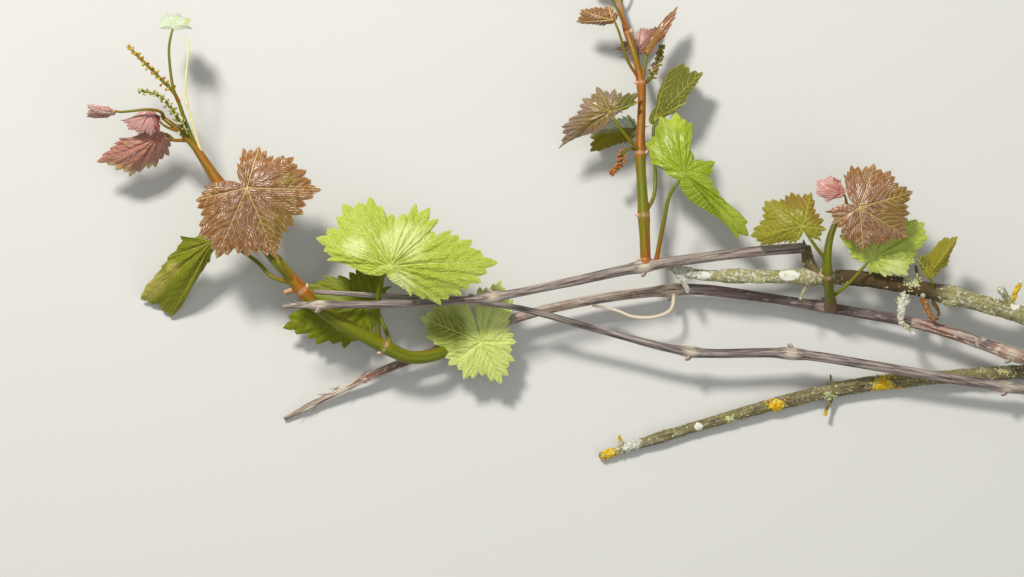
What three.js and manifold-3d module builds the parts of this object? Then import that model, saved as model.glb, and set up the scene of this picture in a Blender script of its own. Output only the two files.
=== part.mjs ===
// A cut branch of grapevine in spring: an old arm and a lower branch crusted with lichen, three canes of
// last year's wood, and three green shoots with their leaves, tendrils and flower clusters.
// It lies on the ground and is looked down on. Millimetres, +Z up, +X towards the cut end of the old arm.
import * as THREE from "three";
import { mergeVertices } from "three/addons/utils/BufferGeometryUtils.js";
import Module from "manifold-3d";

const wasm = await Module();
wasm.setup();

// Driving sizes
const EYE_HEIGHT = 1800; // the branch is laid out as an eye this far above LAYOUT_HEIGHT sees it
const LAYOUT_HEIGHT = 40; // the height at which a place in the layout is true to size
const MIDDLE = new THREE.Vector2(86.6, 49.7); // the middle of the branch in the layout, and the origin
const CLEARANCE = 0.3; // the gap that every joint between two pieces keeps
const BLADE_THICKNESS = 1.1;
const TOOTH_STEP = 15; // degrees between the teeth of a leaf
const TOOTH_DEPTH = 0.1; // how far the edge comes in between two teeth, as a share of the blade there
const LOBING = 0.16; // how far the edge comes in between two main veins 45 degrees apart
const BLISTER = 0.03; // how far the blade swells up between its main veins, as a share of its length
const SINUS_REACH = 0.07; // how far the blade goes on behind its stalk, as a share of its length
const BUDS_FROM = 0.64; // the share of a flower cluster's stem at which its buds begin
const STEM_SLACK = 0.5; // how much fuller a stem is taken to be where a leaf's stalk is cut clear of it
const STALK_TAPER = 0.3; // how much thinner a leaf's stalk is at the blade than at its foot
const STALK_UNDER = 0.2; // how far the stalk goes on under the blade, as a share of the vein it follows
const KNOT_REACH = 7; // how far along a limb a knot swells it
const BUD_SIZE = [2.6, 1.6]; // radius of the first and of the last knot of buds
const BUD_TURN = 2.4; // radians from one knot of buds to the next round the stem
const BUD_STAND = 0.7; // how far a knot stands off the stem's middle, as a share of its radius
const BUD_RISE = 0.4; // how much the knots lie ahead of and behind the stem's side
const INNER_RING = 0.55; // where the blade's ring inside the edge lies, as a share of its length

// How finely the pieces are divided
const LIMB_STEP = 13;
const LIMB_SIDES = 8;
const STUB_SIDES = 6;
const STALK_STEP = 8;
const STALK_SIDES = 5;
const STEM_STEP = 7;
const TENDRIL_STEP = 5;
const TENDRIL_SIDES = 6;
const SEARCH_STEPS = 200;

// A place in the layout, at a height above the ground, as a point.
// What stands higher looks larger, so it is drawn in.
function seen(x, y, height) {
  const shrink = (EYE_HEIGHT - (height - LAYOUT_HEIGHT)) / EYE_HEIGHT;
  return new THREE.Vector3(x * shrink - MIDDLE.x, y * shrink - MIDDLE.y, height);
}

function routeThrough(places) {
  return new THREE.CatmullRomCurve3(places.map((p) => seen(...p)), false, "centripetal");
}

// The woody limbs, each from its base to its tip. A knot is [share of the length, extra radius].
const LIMBS = {
  old_arm: {
    route: routeThrough([
      [416, -72, 11.6], [383, -50, 15], [347, -30, 21], [307, -16, 26], [249, -1, 28],
      [209, 6, 29], [173, 7, 29], [134, 7.5, 28], [111, 8.5, 27], [92, 14, 25.5],
    ]),
    radius: [11.5, 9.8, 7.4, 5.8, 5.4, 5.2, 5, 4.5, 4.1, 2.6],
    knots: [[0.34, 1.2], [0.5, 1.6], [0.75, 1.4], [0.88, 0.8]],
  },
  lower_branch: {
    route: routeThrough([
      [373, -47, 15], [347, -49.5, 12.5], [307, -50, 10], [269, -52.5, 7], [215, -57, 5.6],
      [161, -68.5, 5.2], [113, -82, 4.4], [77, -93, 3.8], [52, -101, 3.2],
    ]),
    radius: [5, 4.8, 4.6, 4.4, 4.9, 4.2, 3.7, 3.4, 2.6],
    knots: [[0.42, 0.8], [0.63, 0.5], [0.88, 0.6]],
  },
  upper_cane: {
    route: routeThrough([
      [176, 24.5, 33], [149, 22.5, 34], [113, 18.3, 35], [80, 13.5, 36.5], [29, 2.7, 42],
      [-16, -5.7, 48], [-67, -9.3, 51], [-117, -9.9, 53], [-138, -11, 53],
    ]),
    radius: [3.3, 3.2, 3.3, 3.2, 2.7, 2.6, 2.2, 2.3, 1.4],
    knots: [[0.31, 1], [0.605, 0.9], [0.93, 1]],
  },
  middle_cane: {
    route: routeThrough([
      [386, -61, 20], [353, -55, 24], [307, -41.7, 26], [251, -23, 21], [191, -11.7, 15], [149, -5, 12],
      [110, -0.5, 11], [96, -1, 12], [53, -6, 14], [17, -13.5, 15.5], [-4, -20, 15], [-37, -34.5, 14.5],
      [-67, -45, 13], [-103, -61, 7], [-137, -78, 2.4],
    ]),
    radius: [4.3, 4.2, 3.9, 3.8, 3.4, 3.1, 3, 3.5, 3.2, 3.1, 3.1, 3.1, 2.7, 2.4, 1.5],
    knots: [[0.165, 0.7], [0.375, 0.8], [0.545, 1], [0.8, 1]],
  },
  lower_cane: {
    route: routeThrough([
      [399, -69, 11], [353, -66, 14], [307, -60.5, 18], [269, -55, 19.5], [221, -47, 21], [167, -39, 24],
      [107, -38, 26], [53, -25, 28], [5, -12, 32], [-37, -6.3, 36], [-77, -4.5, 39], [-119, -1.8, 42],
    ]),
    radius: [3.3, 3.2, 3.1, 3.1, 3, 3.1, 2.8, 2.3, 2.1, 1.9, 1.8, 1.5],
    knots: [[0.45, 1], [0.565, 0.9], [0.82, 0.5]],
  },
};

// The green shoots, each from where it leaves its cane
const SHOOTS = {
  left_shoot: {
    from: "middle_cane",
    route: routeThrough([
      [-36, -35, 19], [-47, -40, 25], [-62, -41, 29], [-80, -33, 34], [-102, -21, 39], [-117, -11, 42],
      [-133, 7, 44], [-153, 31, 45], [-171, 56, 45], [-183, 74, 44], [-191, 86, 43], [-201, 96, 42],
      [-210, 103, 41],
    ]),
    radius: [3.6, 4, 4, 4, 3.8, 3.7, 3.6, 3.5, 3.5, 3.4, 2.9, 2.1, 1.3],
    knots: [[0.19, 0.5], [0.47, 0.6], [0.83, 0.7]],
  },
  middle_shoot: {
    from: "upper_cane",
    route: routeThrough([
      [80, 13.5, 36.5], [80, 21, 37], [79, 44, 35], [77, 81, 31], [77.5, 122, 26], [73, 142, 23],
      [68, 157, 17], [64, 173, 8], [60, 184, 0.95],
    ]),
    radius: [3.2, 3.2, 3.1, 2.8, 2.6, 2.2, 1.9, 1.4, 1],
    knots: [[0.19, 0.6], [0.41, 0.6], [0.64, 0.7], [0.81, 0.5]],
  },
  right_shoot: {
    from: "middle_cane",
    route: routeThrough([
      [191, -12, 16], [191, -8, 24], [190, 2, 39], [189, 16, 46], [191, 31, 48], [196, 43, 48], [202, 51, 48],
    ]),
    radius: [3.4, 3.1, 2.9, 2.7, 2.3, 1.8, 1.2],
    knots: [[0.42, 0.6]],
  },
};

// The short woody stubs on the old arm: [base, tip, radius at the base, radius at the tip].
// The first is the spur that carries the upper cane.
const STUBS = [
  [[184, 6, 29], [176, 26, 33], 4.2, 3.9],
  [[178, 4, 29], [172.5, -7, 31], 1.6, 1.1],
  [[236, -3, 29], [233, -20, 33], 2.6, 1.9],
  [[233, -20, 33], [241, -27, 34], 1.9, 1.4],
  [[245, 1, 28], [242, 14, 31], 2.2, 1.2],
  [[248, -4, 28], [252, -17, 28.5], 2.4, 2],
  [[300, -12, 27], [293, 1, 33], 2.4, 2.2],
  [[303, -12, 28], [305, 5, 36], 2.2, 1.7],
];

// The flower clusters: the places of the stem, which starts on its carrier, and how many knots it has
const CLUSTERS = {
  left_upper_cluster: {
    from: "left_shoot",
    places: [[-191, 84, 44], [-197, 103, 48], [-202, 116, 49], [-211, 126, 50], [-221, 136, 50],
      [-230, 145, 49]],
    radius: [1.4, 0.8],
    buds: 11,
  },
  left_tip_cluster: {
    from: "left_shoot",
    places: [[-196, 90, 43], [-200, 101, 54], [-205, 109, 57], [-212, 115.5, 58], [-223, 119, 56]],
    radius: [1.1, 0.7],
    buds: 10,
  },
  middle_cluster: {
    from: "middle_shoot",
    places: [[77.4, 122, 26], [83, 126, 20], [87, 135, 18], [90, 145, 17]],
    radius: [1.2, 0.7],
    buds: 9,
  },
  middle_low_cluster: {
    from: "middle_shoot",
    places: [[76, 82, 31], [70, 84, 28], [66, 80, 27], [64.5, 74, 27], [59.5, 69.5, 25]],
    radius: [1, 0.7],
    buds: 8,
  },
};

const TENDRILS = {
  cane_tendril: {
    from: "middle_cane",
    places: [[96, -1, 12], [97, -6, 18], [95, -13, 22], [86, -17, 23], [73, -17, 22], [62, -13, 21],
      [48, -10, 20]],
    radius: [1.3, 0.9],
  },
  left_tendril: {
    from: "left_shoot",
    places: [[-185, 77, 44], [-190, 93, 45], [-193, 104, 45.5], [-195.6, 113, 46], [-195.8, 123, 47],
      [-195, 134, 47], [-194, 146, 46], [-196, 151, 45]],
    radius: [1.3, 0.8],
  },
};

// The leaves. stalk lists the places of the stalk, from the carrier to the joint where it meets the blade.
// fan goes round the blade against the clock from one side of the joint to the other, and each entry is a
// main vein or a turn of the edge: its bearing seen from above in degrees, its length seen from above, and
// how far its tip stands over the joint. arch lifts the middle of the blade, as a share of its length.
const LEAVES = {
  left_big_leaf: {
    from: "left_shoot", kind: "leaf", arch: 0.05, thick: 1.8,
    stalk: [[-80, -32, 34], [-80.5, -12, 44], [-78.5, 5, 56], [-73.2, 13.2, 65]],
    fan: [[-56, 22, -5], [-37, 38.5, -8], [-22, 46.6, -8], [-10, 56, -9], [2, 65, -14], [18, 52, -14],
      [31, 43, -15], [37.5, 34, -14], [44, 41, -17], [56, 43, -20], [68, 41, -20], [76, 33, -15],
      [106, 44, -22], [127, 47.5, -20], [159, 47.7, -14], [175, 38.6, -9]],
  },
  left_lower_leaf: {
    from: "left_shoot", kind: "leaf", arch: 0.02, thick: 1.5,
    stalk: [[-38, -36, 18], [-29, -36, 23], [-18.2, -32, 24.5]],
    fan: [[118, 33, 0], [138, 37, 0], [158, 40, -0.5], [175, 34, 0], [215, 24.6, -1], [244, 25, -2],
      [295, 28, -3], [308, 26, -3], [330, 23, -2], [360, 21, -1], [413, 32, 0], [433, 39, 0], [452, 33, 0]],
  },
  left_shaded_leaf: {
    from: "left_shoot", kind: "shade", arch: 0.04, thick: 1.4,
    stalk: [[-70, -34, 30], [-77, -22, 26], [-85.2, -7.2, 24]],
    fan: [[32, 16, -1], [75, 20, -2], [110, 22, -2], [151, 31, -3], [167, 41, -4], [197.6, 55, -8],
      [219, 42, -8], [241.6, 33, -7], [275, 22, -3]],
  },
  left_red_leaf: {
    from: "left_shoot", kind: "bronze", arch: 0.06, thick: 1.5,
    stalk: [[-133, -1, 43], [-139, 14, 53], [-148, 36, 57], [-159.2, 60.6, 60]],
    fan: [[178, 26, -3], [194, 32, -5], [225, 41, -7], [247, 46.5, -8], [271, 42, -7], [293, 46.5, -8],
      [321, 37, -6], [335, 38, -6], [358, 45, -9], [376, 37.6, -7], [393, 34, -7], [433, 26, -9],
      [455, 24, -9], [472, 16, -5]],
  },
  left_hanging_leaf: {
    from: "left_shoot", kind: "shade", arch: 0.04, thick: 1.5,
    stalk: [[-135, -1, 42], [-144, 7, 38], [-153, 16, 37], [-172, 28, 37], [-179.4, 28.8, 36]],
    fan: [[172, 20, -5], [200, 29, -14], [219, 56, -31], [241, 52, -33], [247, 28, -18], [262, 13, -8]],
  },
  left_bronze_leaf: {
    from: "left_shoot", kind: "bronze", arch: 0.06, thick: 1.2,
    stalk: [[-197, 86, 42], [-205, 89, 37], [-212.4, 91.5, 34]],
    fan: [[183, 24, -3], [203, 40, -8], [219, 33, -8], [235, 30, -12], [266, 19, -14], [300, 13.6, -13],
      [347, 12, -6]],
  },
  left_pink_leaf: {
    from: "left_shoot", kind: "pink", arch: 0.08, thick: 0.9,
    stalk: [[-199, 94.5, 42], [-206.5, 96.5, 43], [-213, 101, 44.5], [-217.2, 105.6, 44]],
    fan: [[195, 18.6, -1], [218, 17, -2], [241, 15, -3], [273, 14, -4], [298, 13, -4], [342, 7.6, -2]],
  },
  left_tip_leaf: {
    from: "left_shoot", kind: "pink", arch: 0.08, thick: 1,
    stalk: [[-209, 102.5, 41], [-210.5, 106, 47], [-218, 107.5, 49.5], [-228, 106.5, 49.5],
      [-238.8, 105.6, 48]],
    fan: [[130, 5.5, 2], [163.5, 17, 3], [182, 17, -4], [189, 17, -9], [215, 6, -5]],
  },
  left_top_leaf: {
    from: "left_upper_cluster", kind: "pale", arch: 0.1, thick: 1,
    stalk: [[-200.5, 112, 48.7], [-203, 119, 52], [-205, 131, 51.5], [-205.8, 145, 51], [-203.7, 157, 49]],
    fan: [[-6, 12, 5], [24, 12, -6], [70, 9, -14], [115, 9, -13], [158, 9, -8], [190, 8.5, 4]],
  },
  middle_big_leaf: {
    from: "upper_cane", kind: "leaf", arch: 0.05, thick: 1.5,
    stalk: [[86.4, 14.5, 36], [91.2, 40.8, 43], [94.8, 56.4, 45], [103.2, 69, 46]],
    fan: [[-51, 51, -16], [-44, 54, -14], [-37, 48, -11], [-28, 24, -4], [21, 20, -8], [68, 14, -4],
      [81, 31, -8], [97, 37, -9], [113, 37, -10], [142, 29.5, -9], [164, 22, -5]],
  },
  middle_olive_leaf: {
    from: "middle_shoot", kind: "shade", arch: 0.04, thick: 1.3,
    stalk: [[80, 44, 35], [85, 55, 31], [86, 66, 28], [85.8, 100.8, 26]],
    fan: [[23, 14, 6], [30, 21.5, 5], [39, 30, 3], [45, 41, -1], [64, 39, -8], [74, 32, -10], [83, 19, -8]],
  },
  middle_bronze_leaf: {
    from: "middle_shoot", kind: "bronze", arch: 0.06, thick: 1.2,
    stalk: [[75.6, 81.6, 31], [71.4, 88.2, 37], [63.6, 97.8, 40], [59.2, 106.1, 40]],
    fan: [[-5, 7.4, 1], [18, 17.5, -2], [34, 20.7, -4], [80, 14, -3], [119, 17.5, -8], [155, 19, -5],
      [197, 31, -7], [215.5, 39, -13]],
  },
  middle_grey_leaf: {
    from: "middle_shoot", kind: "pale", arch: 0.05, thick: 1,
    stalk: [[75.6, 82.5, 31], [75, 88, 24], [74.4, 96, 20]],
    fan: [[8, 8.5, -1], [120, 10, -2], [167.5, 22, -4], [183.6, 29, -5], [206.6, 31, -8], [250, 9, -2]],
  },
  middle_red_leaf: {
    from: "middle_shoot", kind: "bronze", arch: 0.08, thick: 1,
    stalk: [[74.5, 123.8, 26], [69, 137.4, 31], [64, 154.4, 34], [60.4, 161.2, 33]],
    fan: [[42, 6.5, 0], [105, 9.5, -3], [144, 13.6, -4], [162.7, 20.5, -6], [183, 22, -9], [215, 7, -6]],
  },
  middle_side_leaf: {
    from: "middle_shoot", kind: "bronze", arch: 0.03, thick: 1.1,
    stalk: [[77, 121, 26], [79.5, 132, 26], [81.2, 142.2, 25]],
    fan: [[40, 15, 7], [50, 27, 3], [56, 33, -1], [62, 24, -4], [75, 12, -4]],
  },
  middle_mauve_leaf: {
    from: "middle_shoot", kind: "pink", arch: 0.06, thick: 1,
    stalk: [[76.5, 123, 26], [76.5, 131, 16], [75.6, 142.8, 11]],
    fan: [[-45, 4.2, -1], [36, 13.3, -2], [47.5, 19.5, -3], [82.6, 14, -3], [150.6, 11, -3], [178, 15, -4]],
  },
  middle_young_leaf: {
    from: "middle_shoot", kind: "bronze", arch: 0.08, thick: 0.9,
    stalk: [[68.5, 155.5, 18], [62, 170, 20], [54, 183, 19]],
    fan: [[60, 8, -2], [95, 15, -4], [125, 20, -6], [155, 15, -5], [190, 8, -3]],
  },
  middle_upper_leaf: {
    from: "middle_shoot", kind: "bronze", arch: 0.08, thick: 0.8,
    stalk: [[65, 171, 9], [69, 178, 8], [70, 184, 7]],
    fan: [[-10, 6, -1], [25, 12, -3], [55, 15, -4], [85, 11, -3], [115, 5, -1]],
  },
  middle_tip_leaf: {
    from: "middle_shoot", kind: "pink", arch: 0.08, thick: 0.8,
    stalk: [[61, 182, 2.5], [58, 188, 4.5], [56, 190, 4.5]],
    fan: [[60, 5, 0], [92, 10, -1], [116, 12, -2], [145, 9, -2], [175, 4, -1]],
  },
  right_green_leaf: {
    from: "right_shoot", kind: "leaf", arch: 0.05, thick: 1.2,
    stalk: [[189, 16.8, 46], [183, 24, 52], [174.2, 37.6, 54.5]],
    fan: [[-40, 15, -2], [-9, 15, -1.5], [16, 13.6, -2], [74.5, 21, -7], [108, 21.5, -9], [147, 27.4, -11],
      [191, 32, -12], [205, 28, -11], [249, 12, -4]],
  },
  right_red_leaf: {
    from: "right_shoot", kind: "bronze", arch: 0.06, thick: 1.1,
    stalk: [[197, 44, 48], [202, 47, 55], [208.2, 48.7, 59]],
    fan: [[-173, 21, -2], [-148, 19, -3], [-116, 22, -5], [-85, 27, -6], [-54, 28, -6], [-32, 35, -8],
      [-7, 31, -7], [16, 34, -8], [49, 29.4, -7], [71, 28, -8], [101, 26, -7], [116, 22, -6]],
  },
  right_pink_leaf: {
    from: "right_shoot", kind: "pink", arch: 0.08, thick: 0.8,
    stalk: [[200, 50, 48], [200, 55, 51], [198.6, 57.6, 52]],
    fan: [[100, 8, -1], [127, 13, -2], [156, 17.7, -3], [182, 16.8, -3], [213, 12, -3]],
  },
  right_under_leaf: {
    from: "right_shoot", kind: "leaf", arch: 0.04, thick: 1.2,
    stalk: [[191, -6, 27], [196, -2, 36], [203, 4, 38.5], [216, 18, 41.5]],
    fan: [[-100, 10, -1], [-54, 14, -2], [-25, 24, -3], [-5, 26, -4], [21, 36.6, -6], [34, 38.5, -7],
      [66, 34, -3], [105, 26, 0], [144.6, 24, 0], [180, 13, 0]],
  },
  right_edge_leaf: {
    from: "old_arm", kind: "shade", arch: 0.04, thick: 1.1,
    stalk: [[252.6, -1.8, 28], [252, 3, 36], [250.2, 8.4, 39]],
    fan: [[25, 12.6, -2], [53, 28.7, 2], [67, 24.7, -6], [126, 12, -2], [150, 7, 0]],
  },
};

const COLOURS = {
  bark: "#8f7c70",
  lichen: "#a7a483",
  green: "#7f8f2c",
  shade: "#8f9a24",
  leaf: "#b9cf2e",
  bronze: "#a05a3e",
  pink: "#c8736c",
  pale: "#b5c48e",
};

// A closed geometry as a solid that can be joined and cut
function solidOf(geometry) {
  const plain = new THREE.BufferGeometry().setAttribute("position", geometry.getAttribute("position"));
  if (geometry.index) plain.setIndex(geometry.index);
  const merged = facingOut(mergeVertices(plain, 1e-4));
  const kept = [];
  const index = merged.index.array;
  for (let i = 0; i < index.length; i += 3) {
    const [a, b, c] = [index[i], index[i + 1], index[i + 2]];
    if (a !== b && b !== c && a !== c) kept.push(a, b, c);
  }
  const made = new wasm.Manifold(
    new wasm.Mesh({
      numProp: 3,
      vertProperties: new Float32Array(merged.attributes.position.array),
      triVerts: new Uint32Array(kept),
    }),
  );
  return made;
}

// The largest body of a solid: a cut can leave a scrap behind
function mainBody(solid) {
  return solid.decompose().reduce((a, b) => (b.volume() > a.volume() ? b : a));
}

function meshOf(name, solid, kind) {
  const { numProp, vertProperties, triVerts, numVert } = mainBody(solid).getMesh();
  const position = new Float32Array(numVert * 3);
  for (let i = 0; i < numVert; i++) {
    position.set(vertProperties.subarray(i * numProp, i * numProp + 3), i * 3);
  }
  const geometry = new THREE.BufferGeometry()
    .setAttribute("position", new THREE.BufferAttribute(position, 3))
    .setIndex(new THREE.BufferAttribute(triVerts, 1));
  const material = new THREE.MeshStandardMaterial({ color: COLOURS[kind], roughness: 0.7, metalness: 0 });
  const mesh = new THREE.Mesh(geometry, material);
  mesh.name = name;
  return mesh;
}

// The value at share t of a list of values spaced evenly
function along(values, t) {
  const place = t * (values.length - 1);
  const i = Math.min(Math.floor(place), values.length - 2);
  return THREE.MathUtils.lerp(values[i], values[i + 1], place - i);
}

// The radius of a limb at share t of its length: its taper, and a soft swelling at each knot
function radiusAt({ route, radius, knots = [] }, t) {
  const reach = KNOT_REACH / route.getLength();
  const swelling = knots.reduce((sum, [at, extra]) => sum + extra * Math.exp(-(((t - at) / reach) ** 2)), 0);
  return along(radius, t) + swelling;
}

// A closed tube along a route: a round section swept along it, with each ring then drawn out to its radius
function tube(route, radiusOf, sides, steps) {
  const section = new THREE.Shape(new THREE.Path().absarc(0, 0, 1, 0, 2 * Math.PI).getSpacedPoints(sides));
  const swept = new THREE.ExtrudeGeometry(section, { extrudePath: route, steps, bevelEnabled: false });
  const middles = route.getSpacedPoints(steps);
  const position = swept.getAttribute("position");
  const point = new THREE.Vector3();
  for (let i = 0; i < position.count; i++) {
    point.fromBufferAttribute(position, i);
    const ring = middles.findIndex((middle) => Math.abs(middle.distanceTo(point) - 1) < 1e-3);
    point.sub(middles[ring]).multiplyScalar(radiusOf(ring / steps)).add(middles[ring]);
    position.setXYZ(i, point.x, point.y, point.z);
  }
  return solidOf(swept);
}

// Turns every face round if the geometry encloses a negative volume
function facingOut(geometry) {
  const p = geometry.getAttribute("position");
  const index = geometry.index.array;
  const [a, b, c] = [new THREE.Vector3(), new THREE.Vector3(), new THREE.Vector3()];
  let volume = 0;
  for (let i = 0; i < index.length; i += 3) {
    a.fromBufferAttribute(p, index[i]);
    b.fromBufferAttribute(p, index[i + 1]);
    c.fromBufferAttribute(p, index[i + 2]);
    volume += a.dot(b.cross(c));
  }
  if (volume < 0) {
    for (let i = 0; i < index.length; i += 3) [index[i + 1], index[i + 2]] = [index[i + 2], index[i + 1]];
  }
  return geometry;
}

function limb(spec, extra = 0) {
  const steps = Math.round(spec.route.getLength() / LIMB_STEP);
  return tube(spec.route, (t) => radiusAt(spec, t) + extra, LIMB_SIDES, steps);
}

// The stem of a flower cluster as a limb that carries a leaf, a little fuller than the stem that is made
function stem({ places, radius }) {
  return { route: routeThrough(places), radius: radius.map((r) => r + STEM_SLACK) };
}

const CARRIERS = { ...LIMBS, ...SHOOTS, left_upper_cluster: stem(CLUSTERS.left_upper_cluster) };

// Cuts a piece clear of the limb that carries it, so that it ends a clearance from the limb's skin
function seated(piece, carrier) {
  return mainBody(piece.subtract(limb(CARRIERS[carrier], CLEARANCE)));
}

function stub([base, tip, wide, narrow]) {
  const route = new THREE.LineCurve3(seen(...base), seen(...tip));
  return tube(route, (t) => THREE.MathUtils.lerp(wide, narrow, t), STUB_SIDES, 2);
}

function oldArm() {
  return STUBS.reduce((whole, s) => whole.add(stub(s)), limb(LIMBS.old_arm));
}

// A place on a leaf as a vector from its joint: its bearing and reach seen from above, and its rise
function fromJoint({ stalk }, [bearing, reach, rise]) {
  const [x, y, z] = stalk.at(-1);
  const turn = THREE.MathUtils.degToRad(bearing);
  return seen(x + reach * Math.cos(turn), y + reach * Math.sin(turn), z + rise).sub(seen(x, y, z));
}

// The main veins of a blade, as vectors from its joint
function veinsOf(spec) {
  return spec.fan.map((entry) => fromJoint(spec, entry));
}

// The way a blade faces: the mean of the faces between its veins
function faceOf(veins) {
  const face = new THREE.Vector3();
  for (let i = 1; i < veins.length; i++) face.add(veins[i - 1].clone().cross(veins[i]));
  return face.normalize();
}

// The edge of a blade, with its lobes and teeth, as vectors from the joint.
// between says how far each one lies between two veins.
function rimOf(spec, veins) {
  const rim = [];
  for (let i = 1; i < veins.length; i++) {
    const [a, b] = [veins[i - 1], veins[i]];
    const gap = THREE.MathUtils.radToDeg(a.angleTo(b));
    const steps = 2 * Math.max(1, Math.round(gap / TOOTH_STEP));
    for (let k = 0; k < steps; k++) {
      const between = Math.sin((Math.PI * k) / steps) ** 2;
      const lobe = 1 - LOBING * between * (gap / 45);
      const tooth = 1 - TOOTH_DEPTH * (k % 2);
      const reach = THREE.MathUtils.lerp(a.length(), b.length(), k / steps) * lobe * tooth;
      rim.push({ way: a.clone().lerp(b, k / steps).setLength(reach), between });
    }
  }
  const longest = Math.max(...spec.fan.map(([, reach]) => reach));
  const behind = (spec.fan[0][0] + spec.fan.at(-1)[0]) / 2 + 180;
  rim.push({ way: veins.at(-1).clone(), between: 0 });
  rim.push({ way: fromJoint(spec, [behind, SINUS_REACH * longest, 0]), between: 0 });
  return rim;
}

// A blade: a thin turned disc whose rings are drawn out to the leaf's edge and lifted along its face
function blade(spec) {
  const veins = veinsOf(spec);
  const rim = rimOf(spec, veins);
  const face = faceOf(veins);
  const joint = seen(...spec.stalk.at(-1));
  const half = BLADE_THICKNESS / 2;
  const profile = [[0, -half], [INNER_RING, -half], [1, 0], [INNER_RING, half], [0, half]];
  const disc = new THREE.LatheGeometry(profile.map(([x, y]) => new THREE.Vector2(x, y)), rim.length);
  const position = disc.getAttribute("position");
  for (let i = 0; i < position.count; i++) {
    const [share, lift] = profile[i % profile.length];
    const { way, between } = rim[Math.floor(i / profile.length) % rim.length];
    const swell = 4 * share * (1 - share) * (spec.arch + BLISTER * between) * way.length();
    const point = joint.clone().addScaledVector(way, share).addScaledVector(face, swell + lift);
    position.setXYZ(i, point.x, point.y, point.z);
  }
  return solidOf(disc);
}

// The nearest point to a place on a route
function nearestOn(route, place) {
  const points = route.getSpacedPoints(SEARCH_STEPS);
  return points.reduce((a, b) => (b.distanceTo(place) < a.distanceTo(place) ? b : a));
}

// The places of a stem as points, the first of them moved onto the middle of its carrier
function placesOn(carrier, places) {
  const points = places.map((p) => seen(...p));
  points[0] = nearestOn(CARRIERS[carrier].route, points[0]);
  return points;
}

// The stalk, which goes on a little way under the blade
function stalk(spec) {
  const points = placesOn(spec.from, spec.stalk);
  const veins = veinsOf(spec);
  const onward = veins[Math.floor(veins.length / 2)];
  points.push(points.at(-1).clone().addScaledVector(onward, STALK_UNDER));
  const route = new THREE.CatmullRomCurve3(points, false, "centripetal");
  const steps = Math.max(5, Math.round(route.getLength() / STALK_STEP));
  return tube(route, (t) => spec.thick * (1 - STALK_TAPER * t), STALK_SIDES, steps);
}

function leaf(spec) {
  return seated(stalk(spec).add(blade(spec)), spec.from);
}

// A thin stem from its carrier to its tip, not yet cut clear
function slip(spec, step) {
  const route = new THREE.CatmullRomCurve3(placesOn(spec.from, spec.places), false, "centripetal");
  const steps = Math.round(route.getLength() / step);
  return tube(route, (t) => THREE.MathUtils.lerp(...spec.radius, t), TENDRIL_SIDES, steps);
}

function tendril(spec) {
  return seated(slip(spec, TENDRIL_STEP), spec.from);
}

// A flower cluster: a stem, and knots of buds set round its outer part in a spiral, smaller towards the tip
function cluster(spec) {
  const route = routeThrough(spec.places);
  let whole = slip(spec, STEM_STEP);
  for (let i = 0; i < spec.buds; i++) {
    const share = i / (spec.buds - 1);
    const size = THREE.MathUtils.lerp(...BUD_SIZE, share);
    const turn = i * BUD_TURN;
    const out = new THREE.Vector3(Math.cos(turn), Math.sin(turn), BUD_RISE * Math.sin(2 * turn));
    const place = route.getPointAt(THREE.MathUtils.lerp(BUDS_FROM, 1, share));
    place.addScaledVector(out, BUD_STAND * size);
    whole = whole.add(solidOf(new THREE.IcosahedronGeometry(size, 0).translate(place.x, place.y, place.z)));
  }
  return seated(whole, spec.from);
}

const [spurBase, spurTip, spurWide, spurNarrow] = STUBS[0];
const spurWithGap = stub([spurBase, spurTip, spurWide + CLEARANCE, spurNarrow + CLEARANCE]);

const branch = new THREE.Group();
branch.add(meshOf("old_arm", oldArm(), "lichen"));
branch.add(meshOf("lower_branch", seated(limb(LIMBS.lower_branch), "old_arm"), "lichen"));
branch.add(meshOf("middle_cane", seated(limb(LIMBS.middle_cane), "old_arm"), "bark"));
branch.add(meshOf("lower_cane", seated(limb(LIMBS.lower_cane), "old_arm"), "bark"));
branch.add(meshOf("upper_cane", limb(LIMBS.upper_cane).subtract(spurWithGap), "bark"));
for (const [name, spec] of Object.entries(SHOOTS)) {
  branch.add(meshOf(name, seated(limb(spec), spec.from), "green"));
}
for (const [name, spec] of Object.entries(LEAVES)) branch.add(meshOf(name, leaf(spec), spec.kind));
for (const [name, spec] of Object.entries(TENDRILS)) branch.add(meshOf(name, tendril(spec), "green"));
for (const [name, spec] of Object.entries(CLUSTERS)) branch.add(meshOf(name, cluster(spec), "green"));

export default branch;
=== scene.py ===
"""Dresses a cut branch of grapevine in spring: old wood crusted with lichen, last year's canes, and green
shoots with their leaves, tendrils and flower clusters.

The tables give places in the frame's layout in millimetres, as [x, y, height above the ground].
Everything that is made from them is in metres."""

import math

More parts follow.
